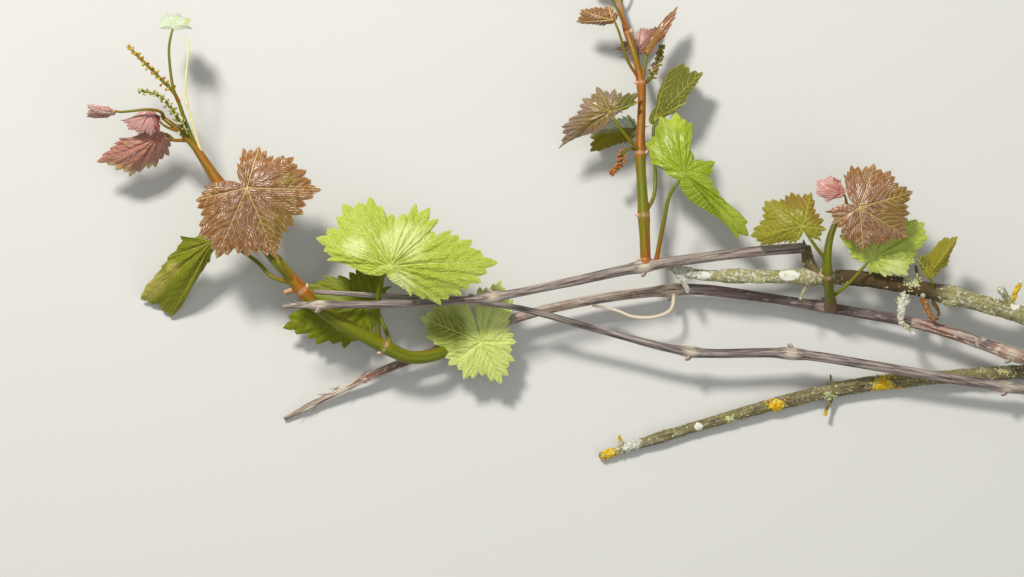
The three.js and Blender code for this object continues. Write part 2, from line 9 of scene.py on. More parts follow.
import bmesh
import bpy
import numpy as np
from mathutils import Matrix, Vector


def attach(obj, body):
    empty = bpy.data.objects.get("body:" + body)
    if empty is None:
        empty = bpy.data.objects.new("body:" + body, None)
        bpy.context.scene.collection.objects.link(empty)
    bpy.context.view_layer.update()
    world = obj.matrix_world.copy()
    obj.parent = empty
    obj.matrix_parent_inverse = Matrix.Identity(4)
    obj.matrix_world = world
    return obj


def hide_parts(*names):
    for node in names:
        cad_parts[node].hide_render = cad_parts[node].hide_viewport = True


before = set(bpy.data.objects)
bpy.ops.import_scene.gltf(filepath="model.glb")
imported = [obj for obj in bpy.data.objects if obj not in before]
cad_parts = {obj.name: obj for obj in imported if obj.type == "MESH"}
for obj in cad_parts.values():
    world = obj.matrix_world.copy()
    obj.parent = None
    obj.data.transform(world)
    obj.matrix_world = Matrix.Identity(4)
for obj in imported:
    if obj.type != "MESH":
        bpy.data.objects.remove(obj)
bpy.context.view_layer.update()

bl_info = {
    "name": "Grapevine Branch",
    "version": (1, 0, 0),
    "blender": (4, 5, 0),
    "location": "View3D > Sidebar > Vine",
    "description": "Dresses a cut branch of grapevine with bark, lichen, leaves, tendrils and flower buds",
    "category": "Add Mesh",
}

MM = 0.001

# The layout is drawn as an eye this far above LAYOUT_HEIGHT sees it, and MIDDLE becomes the origin
EYE_HEIGHT = 1800
LAYOUT_HEIGHT = 40
MIDDLE = (86.6, 49.7)

# The shape that the frame's leaves and limbs follow: how far a blade draws in and swells between two turns of
# its outline, the shares of its length that the hollow behind the joint and the stalk's run under it have,
# how much a stalk narrows, and how far a knot reaches along a limb in millimetres
LOBING = 0.16
BLISTER = 0.03
SINUS_REACH = 0.07
STALK_UNDER = 0.2
STALK_TAPER = 0.3
KNOT_REACH = 7

# How far the side branches of a flower cluster stand out at its foot and its tip, and the turn between them
BUD_STAND = (2.9, 1.3)
BUD_TURN = 2.4

# The branches, canes and shoots. knots lists where a limb swells, as [share of its length, extra radius].
LIMBS = {
    "old_arm": dict(
        places=[[416, -72, 11.6], [383, -50, 15], [347, -30, 21], [307, -16, 26], [249, -1, 28],
                [209, 6, 29], [173, 7, 29], [134, 7.5, 28], [111, 8.5, 27], [92, 14, 25.5]],
        radius=[11.5, 9.8, 7.4, 5.8, 5.4, 5.2, 5, 4.5, 4.1, 2.6],
        knots=[[0.34, 1.2], [0.5, 1.6], [0.75, 1.4], [0.88, 0.8]],
    ),
    "lower_branch": dict(
        places=[[373, -47, 15], [347, -49.5, 12.5], [307, -50, 10], [269, -52.5, 7], [215, -57, 5.6],
                [161, -68.5, 5.2], [113, -82, 4.4], [77, -93, 3.8], [52, -101, 3.2]],
        radius=[5, 4.8, 4.6, 4.4, 4.9, 4.2, 3.7, 3.4, 2.6],
        knots=[[0.42, 0.8], [0.63, 0.5], [0.88, 0.6]],
    ),
    "upper_cane": dict(
        places=[[176, 24.5, 33], [149, 22.5, 34], [113, 18.3, 35], [80, 13.5, 36.5], [29, 2.7, 42],
                [-16, -5.7, 48], [-67, -9.3, 51], [-117, -9.9, 53], [-138, -11, 53]],
        radius=[3.3, 3.2, 3.3, 3.2, 2.7, 2.6, 2.2, 2.3, 1.4],
        knots=[[0.31, 1], [0.605, 0.9], [0.93, 1]],
    ),
    "middle_cane": dict(
        places=[[386, -61, 20], [353, -55, 24], [307, -41.7, 26], [251, -23, 21], [191, -11.7, 15],
                [149, -5, 12], [110, -0.5, 11], [96, -1, 12], [53, -6, 14], [17, -13.5, 15.5], [-4, -20, 15],
                [-37, -34.5, 14.5], [-67, -45, 13], [-103, -61, 7], [-137, -78, 2.4]],
        radius=[4.3, 4.2, 3.9, 3.8, 3.4, 3.1, 3, 3.5, 3.2, 3.1, 3.1, 3.1, 2.7, 2.4, 1.5],
        knots=[[0.165, 0.7], [0.375, 0.8], [0.545, 1], [0.8, 1]],
    ),
    "lower_cane": dict(
        places=[[399, -69, 11], [353, -66, 14], [307, -60.5, 18], [269, -55, 19.5], [221, -47, 21],
                [167, -39, 24], [107, -38, 26], [53, -25, 28], [5, -12, 32], [-37, -6.3, 36], [-77, -4.5, 39],
                [-119, -1.8, 42]],
        radius=[3.3, 3.2, 3.1, 3.1, 3, 3.1, 2.8, 2.3, 2.1, 1.9, 1.8, 1.5],
        knots=[[0.2, 0.7], [0.45, 1], [0.565, 0.9], [0.82, 0.5]],
    ),
    "left_shoot": dict(
        places=[[-36, -35, 19], [-47, -40, 25], [-62, -41, 29], [-80, -33, 34], [-102, -21, 39],
                [-117, -11, 42],
                [-133, 7, 44], [-153, 31, 45], [-171, 56, 45], [-183, 74, 44], [-191, 86, 43], [-201, 96, 42],
                [-210, 103, 41]],
        radius=[3.6, 4, 4, 4, 3.8, 3.7, 3.6, 3.5, 3.5, 3.4, 2.9, 2.1, 1.3],
        knots=[[0.19, 0.5], [0.44, 0.6], [0.77, 0.7]],
    ),
    "middle_shoot": dict(
        places=[[80, 13.5, 36.5], [80, 21, 37], [79, 44, 35], [77, 81, 31], [77.5, 122, 26], [73, 142, 23],
                [68, 157, 17], [64, 173, 8], [60, 184, 0.95]],
        radius=[3.2, 3.2, 3.1, 2.8, 2.6, 2.2, 1.9, 1.4, 1],
        knots=[[0.167, 0.6], [0.375, 0.6], [0.611, 0.7], [0.79, 0.5]],
    ),
    "right_shoot": dict(
        places=[[191, -12, 16], [191, -8, 24], [190, 2, 39], [189, 16, 46], [191, 31, 48], [196, 43, 48],
                [202, 51, 48]],
        radius=[3.4, 3.1, 2.9, 2.7, 2.3, 1.8, 1.2],
        knots=[[0.42, 0.6]],
    ),
}

# The short stubs and lumps on the old wood and the shoots, each with its places, its radius at the base and
# at the tip, and its tones
STUBS = {
    "old_arm": [
        [[[184, 6, 29], [178, 16, 31], [176, 26, 33]], 4.2, 3.6, [0.2, 0.6, 0]],
        [[[178, 4, 29], [172.5, -7, 31]], 1.3, 1.5, [0.9, 0, 0]],
        [[[236, -3, 29], [233.5, -12, 31], [233, -20, 33]], 3, 1.7, [1.1, 0, 0]],
        [[[230, -6, 29], [235, -9, 31], [240, -7, 29]], 2.2, 1.6, [0.5, 0.4, 0]],
        [[[233, -20, 33], [238, -24, 34.5], [242, -28, 34]], 1.9, 1.2, [1.1, 0, 0]],
        [[[245, 1, 28], [242, 14, 31]], 2.2, 1, [0.5, 0.7, 0]],
        [[[246, -3, 28], [250, -14, 28.5], [254, -20, 29]], 2.3, 1.9, [0.2, 0, 1]],
        [[[252, -7, 28], [256, -14, 29.2], [255, -19, 29.5]], 1.7, 1.1, [-0.3, 1, 0.1]],
        [[[250, -11, 28.6], [246.5, -15.5, 30]], 1.5, 0.7, [0.2, 0, 1]],
        [[[300, -12, 27], [293, 1, 33]], 2.4, 2.5, [0.9, 0.1, 0]],
        [[[298.5, -10, 28], [306, 5.4, 36]], 1.9, 1.4, [1, 0, 0]],
        [[[97, 13, 26.5], [102, 6, 28], [106, -3, 26]], 3, 0.6, [1.4, 0, 0]],
        [[[175.6, 23, 33.5], [175.5, 26, 34.5], [174.8, 29.5, 35]], 2.7, 0.3, [0.3, 0.6, 0]],
    ],
    "lower_branch": [
        [[[193, -63, 5.5], [190, -69, 7], [187.4, -76, 8]], 2.3, 1.2, [0.3, 0.5, 0]],
        [[[192, -60, 6], [191.5, -55, 8], [191, -51.5, 9]], 1.9, 0.8, [0.4, 0.3, 0]],
        [[[66, -96, 4.4], [65, -92, 5.5], [64.4, -88, 6]], 1.4, 0.9, [0.9, 0, 0]],
    ],
    "left_shoot": [[[[-127.5, 0.2, 41], [-133, -1.4, 43], [-137, -2.8, 44]], 2, 1.6, [0.5, 0, 0.7]]],
    "middle_shoot": [[[[79, 17, 37.5], [76.4, 17.6, 38.4], [75.4, 18.4, 39]], 1.2, 0.8, [1, 0, 0.2]]],
    "right_shoot": [],
}

# The flower clusters. Each has twice as many side branches as its buds say, from the share of its stem that
# first gives.
CLUSTERS = {
    "left_upper_cluster": dict(
        carrier="left_shoot", radius=[1.4, 0.8], buds=12, first=0.5, tints=["bud_yellow", "bud_red"],
        places=[[-191, 84, 44], [-197, 103, 48], [-202, 116, 49], [-211, 126, 50], [-221, 136, 50],
                [-230, 145, 49]],
    ),
    "left_tip_cluster": dict(
        carrier="left_shoot", radius=[1.1, 0.7], buds=17, first=0.12, tints=["bud_pale", "bud_green"],
        places=[[-196, 90, 43], [-200, 101, 54], [-205, 109, 57], [-212, 115.5, 58], [-223, 119, 56]],
    ),
    "middle_cluster": dict(
        carrier="middle_shoot", radius=[1.2, 0.7], buds=16, first=0.35, tints=["bud_green", "bud_brown"],
        places=[[77.4, 122, 26], [83, 126, 20], [87, 135, 18], [90, 145, 17]],
    ),
    "middle_low_cluster": dict(
        carrier="middle_shoot", radius=[1, 0.7], buds=13, first=0.4, tints=["bud_red", "bud_brown"],
        places=[[76, 82, 31], [70, 84, 28], [66, 80, 27], [64.5, 74, 27], [59.5, 69.5, 25]],
    ),
}

TENDRILS = {
    "cane_tendril": dict(
        carrier="middle_cane", radius=[1.3, 0.9],
        places=[[96, -1, 12], [97, -6, 18], [95, -13, 22], [86, -17, 23], [73, -17, 22], [62, -13, 21],
                [48, -10, 20]],
    ),
    "left_tendril": dict(
        carrier="left_shoot", radius=[0.95, 0.55], knots=[[0.46, 0.5], [0.68, 0.15]],
        places=[[-185, 77, 44], [-190, 93, 45], [-193, 104, 45.5], [-195.6, 113, 46], [-195.8, 123, 47],
                [-195, 134, 47], [-194, 146, 46], [-196, 151, 45]],
    ),
}

# The leaves. fan goes round the blade against the clock, and each entry is a turn of the edge: its bearing in
# degrees, its length in millimetres and its rise over the joint. mains says which entries end a main vein.
# tints names the colours of the middle, the edge, the veins and the flush, and flushes lists where the flush
# lies, as [bearing, reach, spread]. On some leaves the flush is a painted sheen or a painted shadow. arch is
# how far the blade swells as a share of its length, thick the radius of its stalk, relief how strong its
# blisters are, gleam how strong its painted glints are and red how red its stalk is. teeth makes the teeth
# of a folded leaf smaller.
LEAVES = {
    "left_big_leaf": dict(
        carrier="left_shoot", slot="green_leaf", arch=0.05, thick=1.8, mains=[1, 4, 9, 13, 14], relief=0.5,
        # Its whitish flushes are a painted sheen
        tints=["lime", "lime_light", "vein_pale", "lime_painted_sheen"],
        flushes=[[60, 18, 13], [150, 24, 8], [300, 12, 8]],
        stalk=[[-80, -32, 34], [-80.5, -12, 44], [-78.5, 5, 56], [-73.2, 13.2, 65]],
        fan=[[-56, 22, -5], [-37, 38.5, -8], [-22, 46.6, -8], [-10, 56, -9], [2, 65, -14], [18, 52, -14],
             [31, 43, -15], [37.5, 34, -14], [44, 41, -17], [56, 43, -20], [68, 41, -20], [76, 33, -15],
             [106, 44, -22], [127, 47.5, -20], [159, 47.7, -14], [175, 38.6, -9]],
    ),
    "left_lower_leaf": dict(
        carrier="left_shoot", slot="green_leaf", arch=0.02, thick=1.5, mains=[2, 4, 6, 9, 11], relief=0.4,
        # Its cream is painted sunlight, and the shade flush on its upper left a painted shadow
        tints=["lime_cream", "lime_cream", "vein_pale", "shade"], flushes=[[158, 22, 15]],
        stalk=[[-38, -36, 18], [-29, -36, 23], [-18.2, -32, 24.5]],
        fan=[[118, 33, 0], [138, 37, 0], [158, 40, -0.5], [175, 34, 0], [215, 24.6, -1], [244, 25, -2],
             [295, 28, -3], [308, 26, -3], [330, 23, -2], [360, 21, -1], [413, 32, 0], [433, 39, 0],
             [452, 33, 0]],
    ),
    "left_shaded_leaf": dict(
        carrier="left_shoot", slot="olive_leaf", arch=0.04, thick=1.4, mains=[1, 3, 5, 7], relief=0.12,
        # Its olive is darkened as painted shade, as it lies under the other leaves
        tints=["shade", "shade", "shade", "shade"], flushes=[],
        stalk=[[-70, -34, 30], [-77, -22, 26], [-85.2, -7.2, 24]],
        fan=[[32, 16, -1], [75, 20, -2], [110, 22, -2], [151, 31, -3], [167, 41, -4], [197.6, 55, -8],
             [219, 42, -8], [241.6, 33, -7], [275, 22, -3]],
    ),
    "left_red_leaf": dict(
        carrier="left_shoot", slot="bronze_leaf", arch=0.06, thick=1.5, mains=[1, 3, 5, 8, 11],
        relief=0.6, red=0.4,
        tints=["bronze", "rust", "vein_gold", "olive_gold"], flushes=[[312, 28, 13], [12, 26, 6]],
        stalk=[[-133, -1, 43], [-139, 14, 53], [-148, 36, 57], [-159.2, 60.6, 60]],
        fan=[[178, 26, -3], [194, 32, -5], [225, 41, -7], [247, 46.5, -8], [271, 42, -7], [293, 46.5, -8],
             [321, 37, -6], [335, 38, -6], [358, 45, -9], [376, 37.6, -7], [393, 34, -7], [433, 26, -9],
             [455, 24, -9], [472, 16, -5]],
    ),
    "left_hanging_leaf": dict(
        carrier="left_shoot", slot="olive_leaf", arch=0.04, thick=1.5, mains=[1, 2, 3],
        relief=0.2, teeth=0.5, red=0.3,
        # Its olive is darkened as painted shade, as it hangs in shadow
        tints=["shade", "shade", "khaki", "khaki"], flushes=[[216, 52, 7], [214, 42, 6], [212, 30, 5]],
        stalk=[[-135, -1, 42], [-144, 7, 38], [-153, 16, 37], [-172, 28, 37], [-179.4, 28.8, 36]],
        fan=[[172, 20, -5], [200, 29, -14], [219, 56, -31], [241, 52, -33], [247, 28, -18], [262, 13, -8]],
    ),
    "left_bronze_leaf": dict(
        carrier="left_shoot", slot="bronze_leaf", arch=0.06, thick=1.2, mains=[1, 3, 4, 5],
        relief=0.6, gleam=0.45, red=0.6,
        tints=["bronze_pink", "bronze_pink", "rose", "vein_gold"],
        flushes=[[233, 31, 7], [215, 36, 6], [258, 21, 6]],
        stalk=[[-197, 86, 42], [-205, 89, 37], [-212.4, 91.5, 34]],
        fan=[[183, 24, -3], [203, 40, -8], [219, 33, -8], [235, 30, -12], [266, 19, -14], [300, 13.6, -13],
             [347, 12, -6]],
    ),
    "left_pink_leaf": dict(
        carrier="left_shoot", slot="pink_leaf", arch=0.08, thick=0.9, mains=[0, 2, 4], relief=0.5, red=0.6,
        tints=["pink", "pink", "rose", "rose_dark"], flushes=[[300, 10, 3], [342, 6, 4]],
        stalk=[[-199, 94.5, 42], [-206.5, 96.5, 43], [-213, 101, 44.5], [-217.2, 105.6, 44]],
        fan=[[195, 18.6, -1], [218, 17, -2], [241, 15, -3], [273, 14, -4], [298, 13, -4], [342, 7.6, -2]],
    ),
    "left_tip_leaf": dict(
        carrier="left_shoot", slot="pink_leaf", arch=0.08, thick=1, mains=[1, 3],
        relief=0.5, red=0.6, gleam=1.4,
        tints=["rose_dark", "rose", "glint", "pink"], flushes=[[170, 16, 4]],
        stalk=[[-209, 102.5, 41], [-210.5, 106, 47], [-218, 107.5, 49.5], [-228, 106.5, 49.5],
               [-238.8, 105.6, 48]],
        fan=[[130, 5.5, 2], [163.5, 17, 3], [182, 17, -4], [189, 17, -9], [215, 6, -5]],
    ),
    "left_top_leaf": dict(
        carrier="left_upper_cluster", slot="pale_leaf", arch=0.1, thick=1, mains=[1, 3, 4],
        relief=0.4, red=0.45, teeth=0.4,
        tints=["pale", "pale", "pale", "vein_pale"], flushes=[[20, 11, 4]],
        stalk=[[-200.5, 112, 48.7], [-203, 119, 52], [-205, 131, 51.5], [-205.8, 145, 51], [-203.7, 157, 49]],
        fan=[[-6, 12, 5], [24, 12, -6], [70, 9, -14], [115, 9, -13], [158, 9, -8], [190, 8.5, 4]],
    ),
    "middle_big_leaf": dict(
        carrier="upper_cane", slot="green_leaf", arch=0.05, thick=1.5, mains=[1, 4, 7, 9],
        relief=0.3, gleam=0.5, red=0.7, teeth=0.6,
        tints=["fresh", "fresh", "lime_light", "lime_light"], flushes=[[-44, 44, 16], [97, 32, 6]],
        stalk=[[86.4, 14.5, 36], [91.2, 40.8, 43], [94.8, 56.4, 45], [103.2, 69, 46]],
        fan=[[-51, 51, -16], [-44, 54, -14], [-37, 48, -11], [-28, 24, -4], [21, 20, -8], [68, 14, -4],
             [81, 31, -8], [97, 37, -9], [113, 37, -10], [142, 29.5, -9], [164, 22, -5]],
    ),
    "middle_olive_leaf": dict(
        carrier="middle_shoot", slot="olive_leaf", arch=0.04, thick=1.3, mains=[1, 3, 5],
        relief=0.3, teeth=0.8, red=0.1,
        tints=["olive", "olive", "vein_green", "olive"], flushes=[[60, 34, 8]],
        stalk=[[80, 44, 35], [85, 55, 31], [86, 66, 28], [85.8, 100.8, 26]],
        fan=[[23, 14, 6], [30, 21.5, 5], [39, 30, 3], [45, 41, -1], [64, 39, -8], [74, 32, -10],
             [83, 19, -8]],
    ),
    "middle_bronze_leaf": dict(
        carrier="middle_shoot", slot="bronze_leaf", arch=0.06, thick=1.2, mains=[1, 4, 5, 7],
        relief=0.6, gleam=0.25, red=0.4,
        tints=["khaki_brown", "mauve_grey", "khaki", "olive"], flushes=[[20, 12, 8]],
        stalk=[[75.6, 81.6, 31], [71.4, 88.2, 37], [63.6, 97.8, 40], [59.2, 106.1, 40]],
        fan=[[-5, 7.4, 1], [18, 17.5, -2], [34, 20.7, -4], [80, 14, -3], [119, 17.5, -8], [155, 19, -5],
             [197, 31, -7], [215.5, 39, -13]],
    ),
    "middle_grey_leaf": dict(
        carrier="middle_shoot", slot="pale_leaf", arch=0.05, thick=1, mains=[1, 3, 4], relief=0.3,
        # Its grey green is painted light, much paler than its own, as it lies in the bronze leaf's shadow
        tints=["grey_green_painted_light", "grey_green_painted_light", "khaki_green", "khaki_green"],
        flushes=[[205, 26, 9], [215, 17, 8], [228, 9, 7]],
        stalk=[[75.6, 82.5, 31], [75, 88, 24], [74.4, 96, 20]],
        fan=[[8, 8.5, -1], [120, 10, -2], [167.5, 22, -4], [183.6, 29, -5], [206.6, 31, -8], [250, 9, -2]],
    ),
    "middle_red_leaf": dict(
        carrier="middle_shoot", slot="bronze_leaf", arch=0.08, thick=1, mains=[1, 3, 4],
        relief=0.4, gleam=0.3, red=0.9,
        tints=["brick", "rust", "vein_gold", "bronze"], flushes=[[170, 10, 6]],
        stalk=[[74.5, 123.8, 26], [69, 137.4, 31], [64, 154.4, 34], [60.4, 161.2, 33]],
        fan=[[42, 6.5, 0], [105, 9.5, -3], [144, 13.6, -4], [162.7, 20.5, -6], [183, 22, -9], [215, 7, -6]],
    ),
    "middle_side_leaf": dict(
        carrier="middle_shoot", slot="bronze_leaf", arch=0.03, thick=1.1, mains=[2],
        relief=0.3, gleam=0.0, red=0.5,
        tints=["rust", "brick", "khaki", "mauve"], flushes=[[55, 28, 5]],
        stalk=[[77, 121, 26], [79.5, 132, 26], [81.2, 142.2, 25]],
        fan=[[40, 15, 7], [50, 27, 3], [56, 33, -1], [62, 24, -4], [75, 12, -4]],
    ),
    "middle_mauve_leaf": dict(
        carrier="middle_shoot", slot="pink_leaf", arch=0.06, thick=1, mains=[2, 3, 5],
        relief=0.5, gleam=0.2, red=0.5,
        # Its colours are partly painted light, paler than its own, as it lies in another leaf's shadow
        tints=["rose", "bronze_pink", "mauve_grey", "pink"], flushes=[[90, 8, 6]],
        stalk=[[76.5, 123, 26], [76.5, 131, 16], [75.6, 142.8, 11]],
        fan=[[-45, 4.2, -1], [36, 13.3, -2], [47.5, 19.5, -3], [82.6, 14, -3], [150.6, 11, -3],
             [178, 15, -4]],
    ),
    "middle_young_leaf": dict(
        carrier="middle_shoot", slot="bronze_leaf", arch=0.08, thick=0.9, mains=[1, 2, 3],
        relief=0.4, gleam=0.4, red=0.5,
        tints=["rust", "rose_dark", "vein_gold", "bronze"], flushes=[[125, 12, 6]],
        stalk=[[68.5, 155.5, 18], [62, 170, 20], [54, 183, 19]],
        fan=[[60, 8, -2], [95, 15, -4], [125, 20, -6], [155, 15, -5], [190, 8, -3]],
    ),
    "middle_upper_leaf": dict(
        carrier="middle_shoot", slot="bronze_leaf", arch=0.08, thick=0.8, mains=[1, 2, 3], relief=0.4,
        tints=["bronze", "rust", "vein_gold", "rose"], flushes=[[55, 10, 5]],
        stalk=[[65, 171, 9], [69, 178, 8], [70, 184, 7]],
        fan=[[-10, 6, -1], [25, 12, -3], [55, 15, -4], [85, 11, -3], [115, 5, -1]],
    ),
    "middle_tip_leaf": dict(
        carrier="middle_shoot", slot="pink_leaf", arch=0.08, thick=0.8, mains=[1, 2, 3], relief=0.4,
        tints=["rose", "pink", "rose_dark", "bronze"], flushes=[[115, 8, 4]],
        stalk=[[61, 182, 2.5], [58, 188, 4.5], [56, 190, 4.5]],
        fan=[[60, 5, 0], [92, 10, -1], [116, 12, -2], [145, 9, -2], [175, 4, -1]],
    ),
    "right_green_leaf": dict(
        carrier="right_shoot", slot="green_leaf", arch=0.05, thick=1.2, mains=[1, 3, 5, 6, 8],
        relief=0.45, gleam=0.3, red=0.2,
        tints=["khaki_green", "khaki_green", "vein_green", "gold_brown"],
        flushes=[[72, 15, 7], [30, 11, 5], [112, 17, 6]],
        stalk=[[189, 16.8, 46], [183, 24, 52], [174.2, 37.6, 54.5]],
        fan=[[-40, 15, -2], [-9, 15, -1.5], [16, 13.6, -2], [74.5, 21, -7], [108, 21.5, -9], [147, 27.4, -11],
             [191, 32, -12], [205, 28, -11], [249, 12, -4]],
    ),
    "right_red_leaf": dict(
        carrier="right_shoot", slot="bronze_leaf", arch=0.06, thick=1.1, mains=[1, 3, 5, 7, 9],
        relief=0.6, red=0.4,
        tints=["bronze", "rust", "vein_gold", "olive_gold"], flushes=[[-18, 20, 9], [14, 26, 7]],
        stalk=[[197, 44, 48], [202, 47, 55], [208.2, 48.7, 59]],
        fan=[[-173, 21, -2], [-148, 19, -3], [-116, 22, -5], [-85, 27, -6], [-54, 28, -6], [-32, 35, -8],
             [-7, 31, -7], [16, 34, -8], [49, 29.4, -7], [71, 28, -8], [101, 26, -7], [116, 22, -6]],
    ),
    "right_pink_leaf": dict(
        carrier="right_shoot", slot="pink_leaf", arch=0.08, thick=0.8, mains=[1, 2, 4], relief=0.5, red=0.5,
        tints=["rose", "pink", "rose", "rose_dark"], flushes=[[110, 9, 3]],
        stalk=[[200, 50, 48], [200, 55, 51], [198.6, 57.6, 52]],
        fan=[[100, 8, -1], [127, 13, -2], [156, 17.7, -3], [182, 16.8, -3], [213, 12, -3]],
    ),
    "right_under_leaf": dict(
        carrier="right_shoot", slot="green_leaf", arch=0.04, thick=1.2, mains=[1, 3, 5, 7],
        relief=0.3, teeth=0.7,
        # Partly painted light: a paler green than its own, as it lies in the red leaf's shadow, and a painted
        # sheen
        tints=["lime_light", "lime_light", "vein_pale", "lime_painted_sheen"], flushes=[[-30, 16, 9]],
        stalk=[[191, -6, 27], [196, -2, 36], [203, 4, 38.5], [216, 18, 41.5]],
        fan=[[-100, 10, -1], [-54, 14, -2], [-25, 24, -3], [-5, 26, -4], [21, 36.6, -6], [34, 38.5, -7],
             [66, 34, -3], [105, 26, 0], [144.6, 24, 0], [180, 13, 0]],
    ),
    "right_edge_leaf": dict(
        carrier="old_arm", slot="olive_leaf", arch=0.04, thick=1.1, mains=[1, 3], relief=0.4, teeth=0.6,
        tints=["khaki_green", "khaki_green", "khaki", "olive"], flushes=[[120, 8, 5]],
        stalk=[[252.6, -1.8, 28], [252, 3, 36], [250.2, 8.4, 39]],
        fan=[[25, 12.6, -2], [53, 28.7, 2], [67, 24.7, -6], [126, 12, -2], [150, 7, 0]],
    ),
}

# The colours that a user may change: a hex value and what it is for
PALETTE = {
    "lime": ("#9eaa24", "Middle of the sunlit leaves"),
    "lime_light": ("#a8b83c", "Edge of the sunlit leaves"),
    # The whitish shine on the largest leaf and on the leaf under the right shoot is a painted sheen
    "lime_painted_sheen": ("#ccd48c", "Shine on the largest leaf"),
    "lime_cream": ("#c8d478", "Sunlit part of the lower leaf"),
    # The glints on the green leaves are painted highlights
    "glint_green": ("#d8e29c", "Glints on the green leaves"),
    "gold_brown": ("#8a6c1e", "Golden brown of the leaf by the right shoot"),
    "bronze_pink": ("#a8745e", "Pink brown of the bronze leaf on the left"),
    "fresh": ("#889c10", "Green of the leaf on the middle shoot"),
    # An olive darkened as painted shade, for the leaves in shadow and the painted shadow on the lower leaf
    "shade": ("#747c02", "Green of the leaves that hang below"),
    "olive": ("#62641c", "Olive of the folded leaves"),
    "olive_gold": ("#86640c", "Olive flush on the bronze leaves"),
    "khaki": ("#a8a04c", "Dry edge of the hanging leaf"),
    "khaki_green": ("#8e8612", "Yellow green of the leaf by the right shoot"),
    "khaki_brown": ("#86683a", "Brown of the leaf by the middle shoot"),
    "bronze": ("#885842", "Middle of the bronze leaves"),
    "rust": ("#925c28", "Edge of the bronze leaves"),
    "brick": ("#80280a", "Red of the leaves high on the middle shoot"),
    "mauve_grey": ("#8e7468", "Grey down on the young leaves"),
    # The glints on the young leaves' blisters are painted highlights; this pale also draws the tip leaf's
    # streaks
    "glint": ("#ecd8cc", "Glints on the blisters of the young leaves"),
    "mauve": ("#90604e", "Young leaves with grey down"),
    "rose": ("#d08c80", "Middle of the pink leaves"),
    "rose_dark": ("#943830", "Veins of the pink leaves"),
    "pink": ("#e4b4ac", "Edge of the pink leaves"),
    # Painted light: a grey green much paler than the leaf's own, as the leaf lies in another leaf's shadow
    "grey_green_painted_light": ("#ccd8c4", "Underside that shows on the middle shoot"),
    "pale": ("#dce6cc", "Folded leaf at the top"),
    "vein_pale": ("#d0dc7c", "Veins of the green leaves"),
    "vein_green": ("#b0b048", "Veins of the olive leaf"),
    "vein_gold": ("#d4bc78", "Veins of the young bronze leaves"),
    "stem_green": ("#687000", "Green side of the shoots"),
    "stem_red": ("#98560a", "Sunned side and nodes of the shoots"),
    "stem_pale": ("#c2c068", "Tendril and cluster stems"),
    # This dark also paints the shade where a cane's paleness falls below 0
    "cane_dark": ("#443a39", "Furrows of last year's bark"),
    "cane_light": ("#a29790", "Ridges of last year's bark"),
    "cane_pale": ("#d4c8b4", "Pale bark at the nodes"),
    "wood_dark": ("#463c2c", "Furrows of the old bark"),
    "wood_light": ("#a09870", "Ridges of the old bark"),
    "spur_orange": ("#8e5c26", "Orange brown of the torn spur"),
    # The old arm's shaded brown is painted shade over brown bark; it also rings the cut end and flushes a
    # shoot
    "wood_brown_and_shade": ("#5e4826", "Shaded brown of the old bark"),
    "cane_warm": ("#8a4a38", "Red brown of last year's bark"),
    "film": ("#8c8c54", "Green film on the old bark"),
    "crust_white": ("#dcdcd0", "Smooth white lichen"),
    "lichen_grey": ("#aeb09c", "Leafy grey lichen"),
    "lichen_yellow": ("#e6ca28", "Yellow lichen"),
    "lichen_orange": ("#cc960e", "Orange of the yellow lichen"),
    "lichen_pale": ("#d2d488", "Pale crust on the old wood"),
    "bud_pale": ("#dcd49c", "Pale flower buds"),
    "bud_brown": ("#ac7450", "Brown flower buds"),
    "bud_green": ("#7c8630", "Green flower buds"),
    "bud_yellow": ("#d4c458", "Flower buds"),
    "bud_red": ("#bc6c2c", "Sunned flower buds"),
    "dry": ("#cdc2ae", "Dry tendril"),
    "cut_wood": ("#c8ac80", "Cut end of the old arm"),
}


def linear(code):
    """A hex colour as linear red, green and blue."""
    parts = [int(code[i:i + 2], 16) / 255 for i in (1, 3, 5)]
    return tuple(c / 12.92 if c <= 0.04045 else ((c + 0.055) / 1.055) ** 2.4 for c in parts)


def length(name, description, default):
    """A property that holds a length."""
    return bpy.props.FloatProperty(
        name=name, description=description, default=default, min=0, precision=5, unit="LENGTH"
    )


def ratio(name, description, default):
    """A property that holds a share of something."""
    return bpy.props.FloatProperty(name=name, description=description, default=default, min=0, max=1)


class VineColours(bpy.types.PropertyGroup):
    """The colours of the branch."""

    __annotations__ = {
        name: bpy.props.FloatVectorProperty(
            name=name.replace("_", " ").capitalize(), description=purpose, default=linear(code),
            subtype="COLOR", size=3, min=0, max=1,
        )
        for name, (code, purpose) in PALETTE.items()
    }


class VineSizes(bpy.types.PropertyGroup):
    """The sizes that are finer than the frame's."""

    blade_thickness: length("Blade thickness", "Thickness of a leaf away from its edge", 0.00045)
    column_step: length("Edge step", "Distance between the mesh's columns at the edge of a leaf", 0.001)
    tooth_pitch: ratio("Tooth pitch", "Distance between the teeth as a share of the blade", 0.13)
    tooth_depth: ratio("Tooth depth", "Depth of the teeth as a share of their pitch", 0.55)
    fine_tooth: ratio("Fine teeth", "Depth of the fine teeth as a share of the teeth's pitch", 0.1)
    groove: length("Vein groove", "How deep a main vein lies in the blade", 0.00035)
    blister: length("Blisters", "How far the blade swells between its side veins", 0.00048)
    ring_step: length("Ring step", "Distance between the mesh's rings along a limb", 0.0012)
    bark_ridge: length("Bark ridges", "Height of the ridges on the old bark", 0.0007)
    cane_ridge: length("Cane ridges", "Height of the ridges on last year's bark", 0.00018)
    bud: length("Flower bud", "Radius of one flower bud", 0.00082)
    flake: length("Lichen lobe", "Radius of one lobe of lichen", 0.0009)


def sizes():
    return bpy.context.scene.vine_sizes


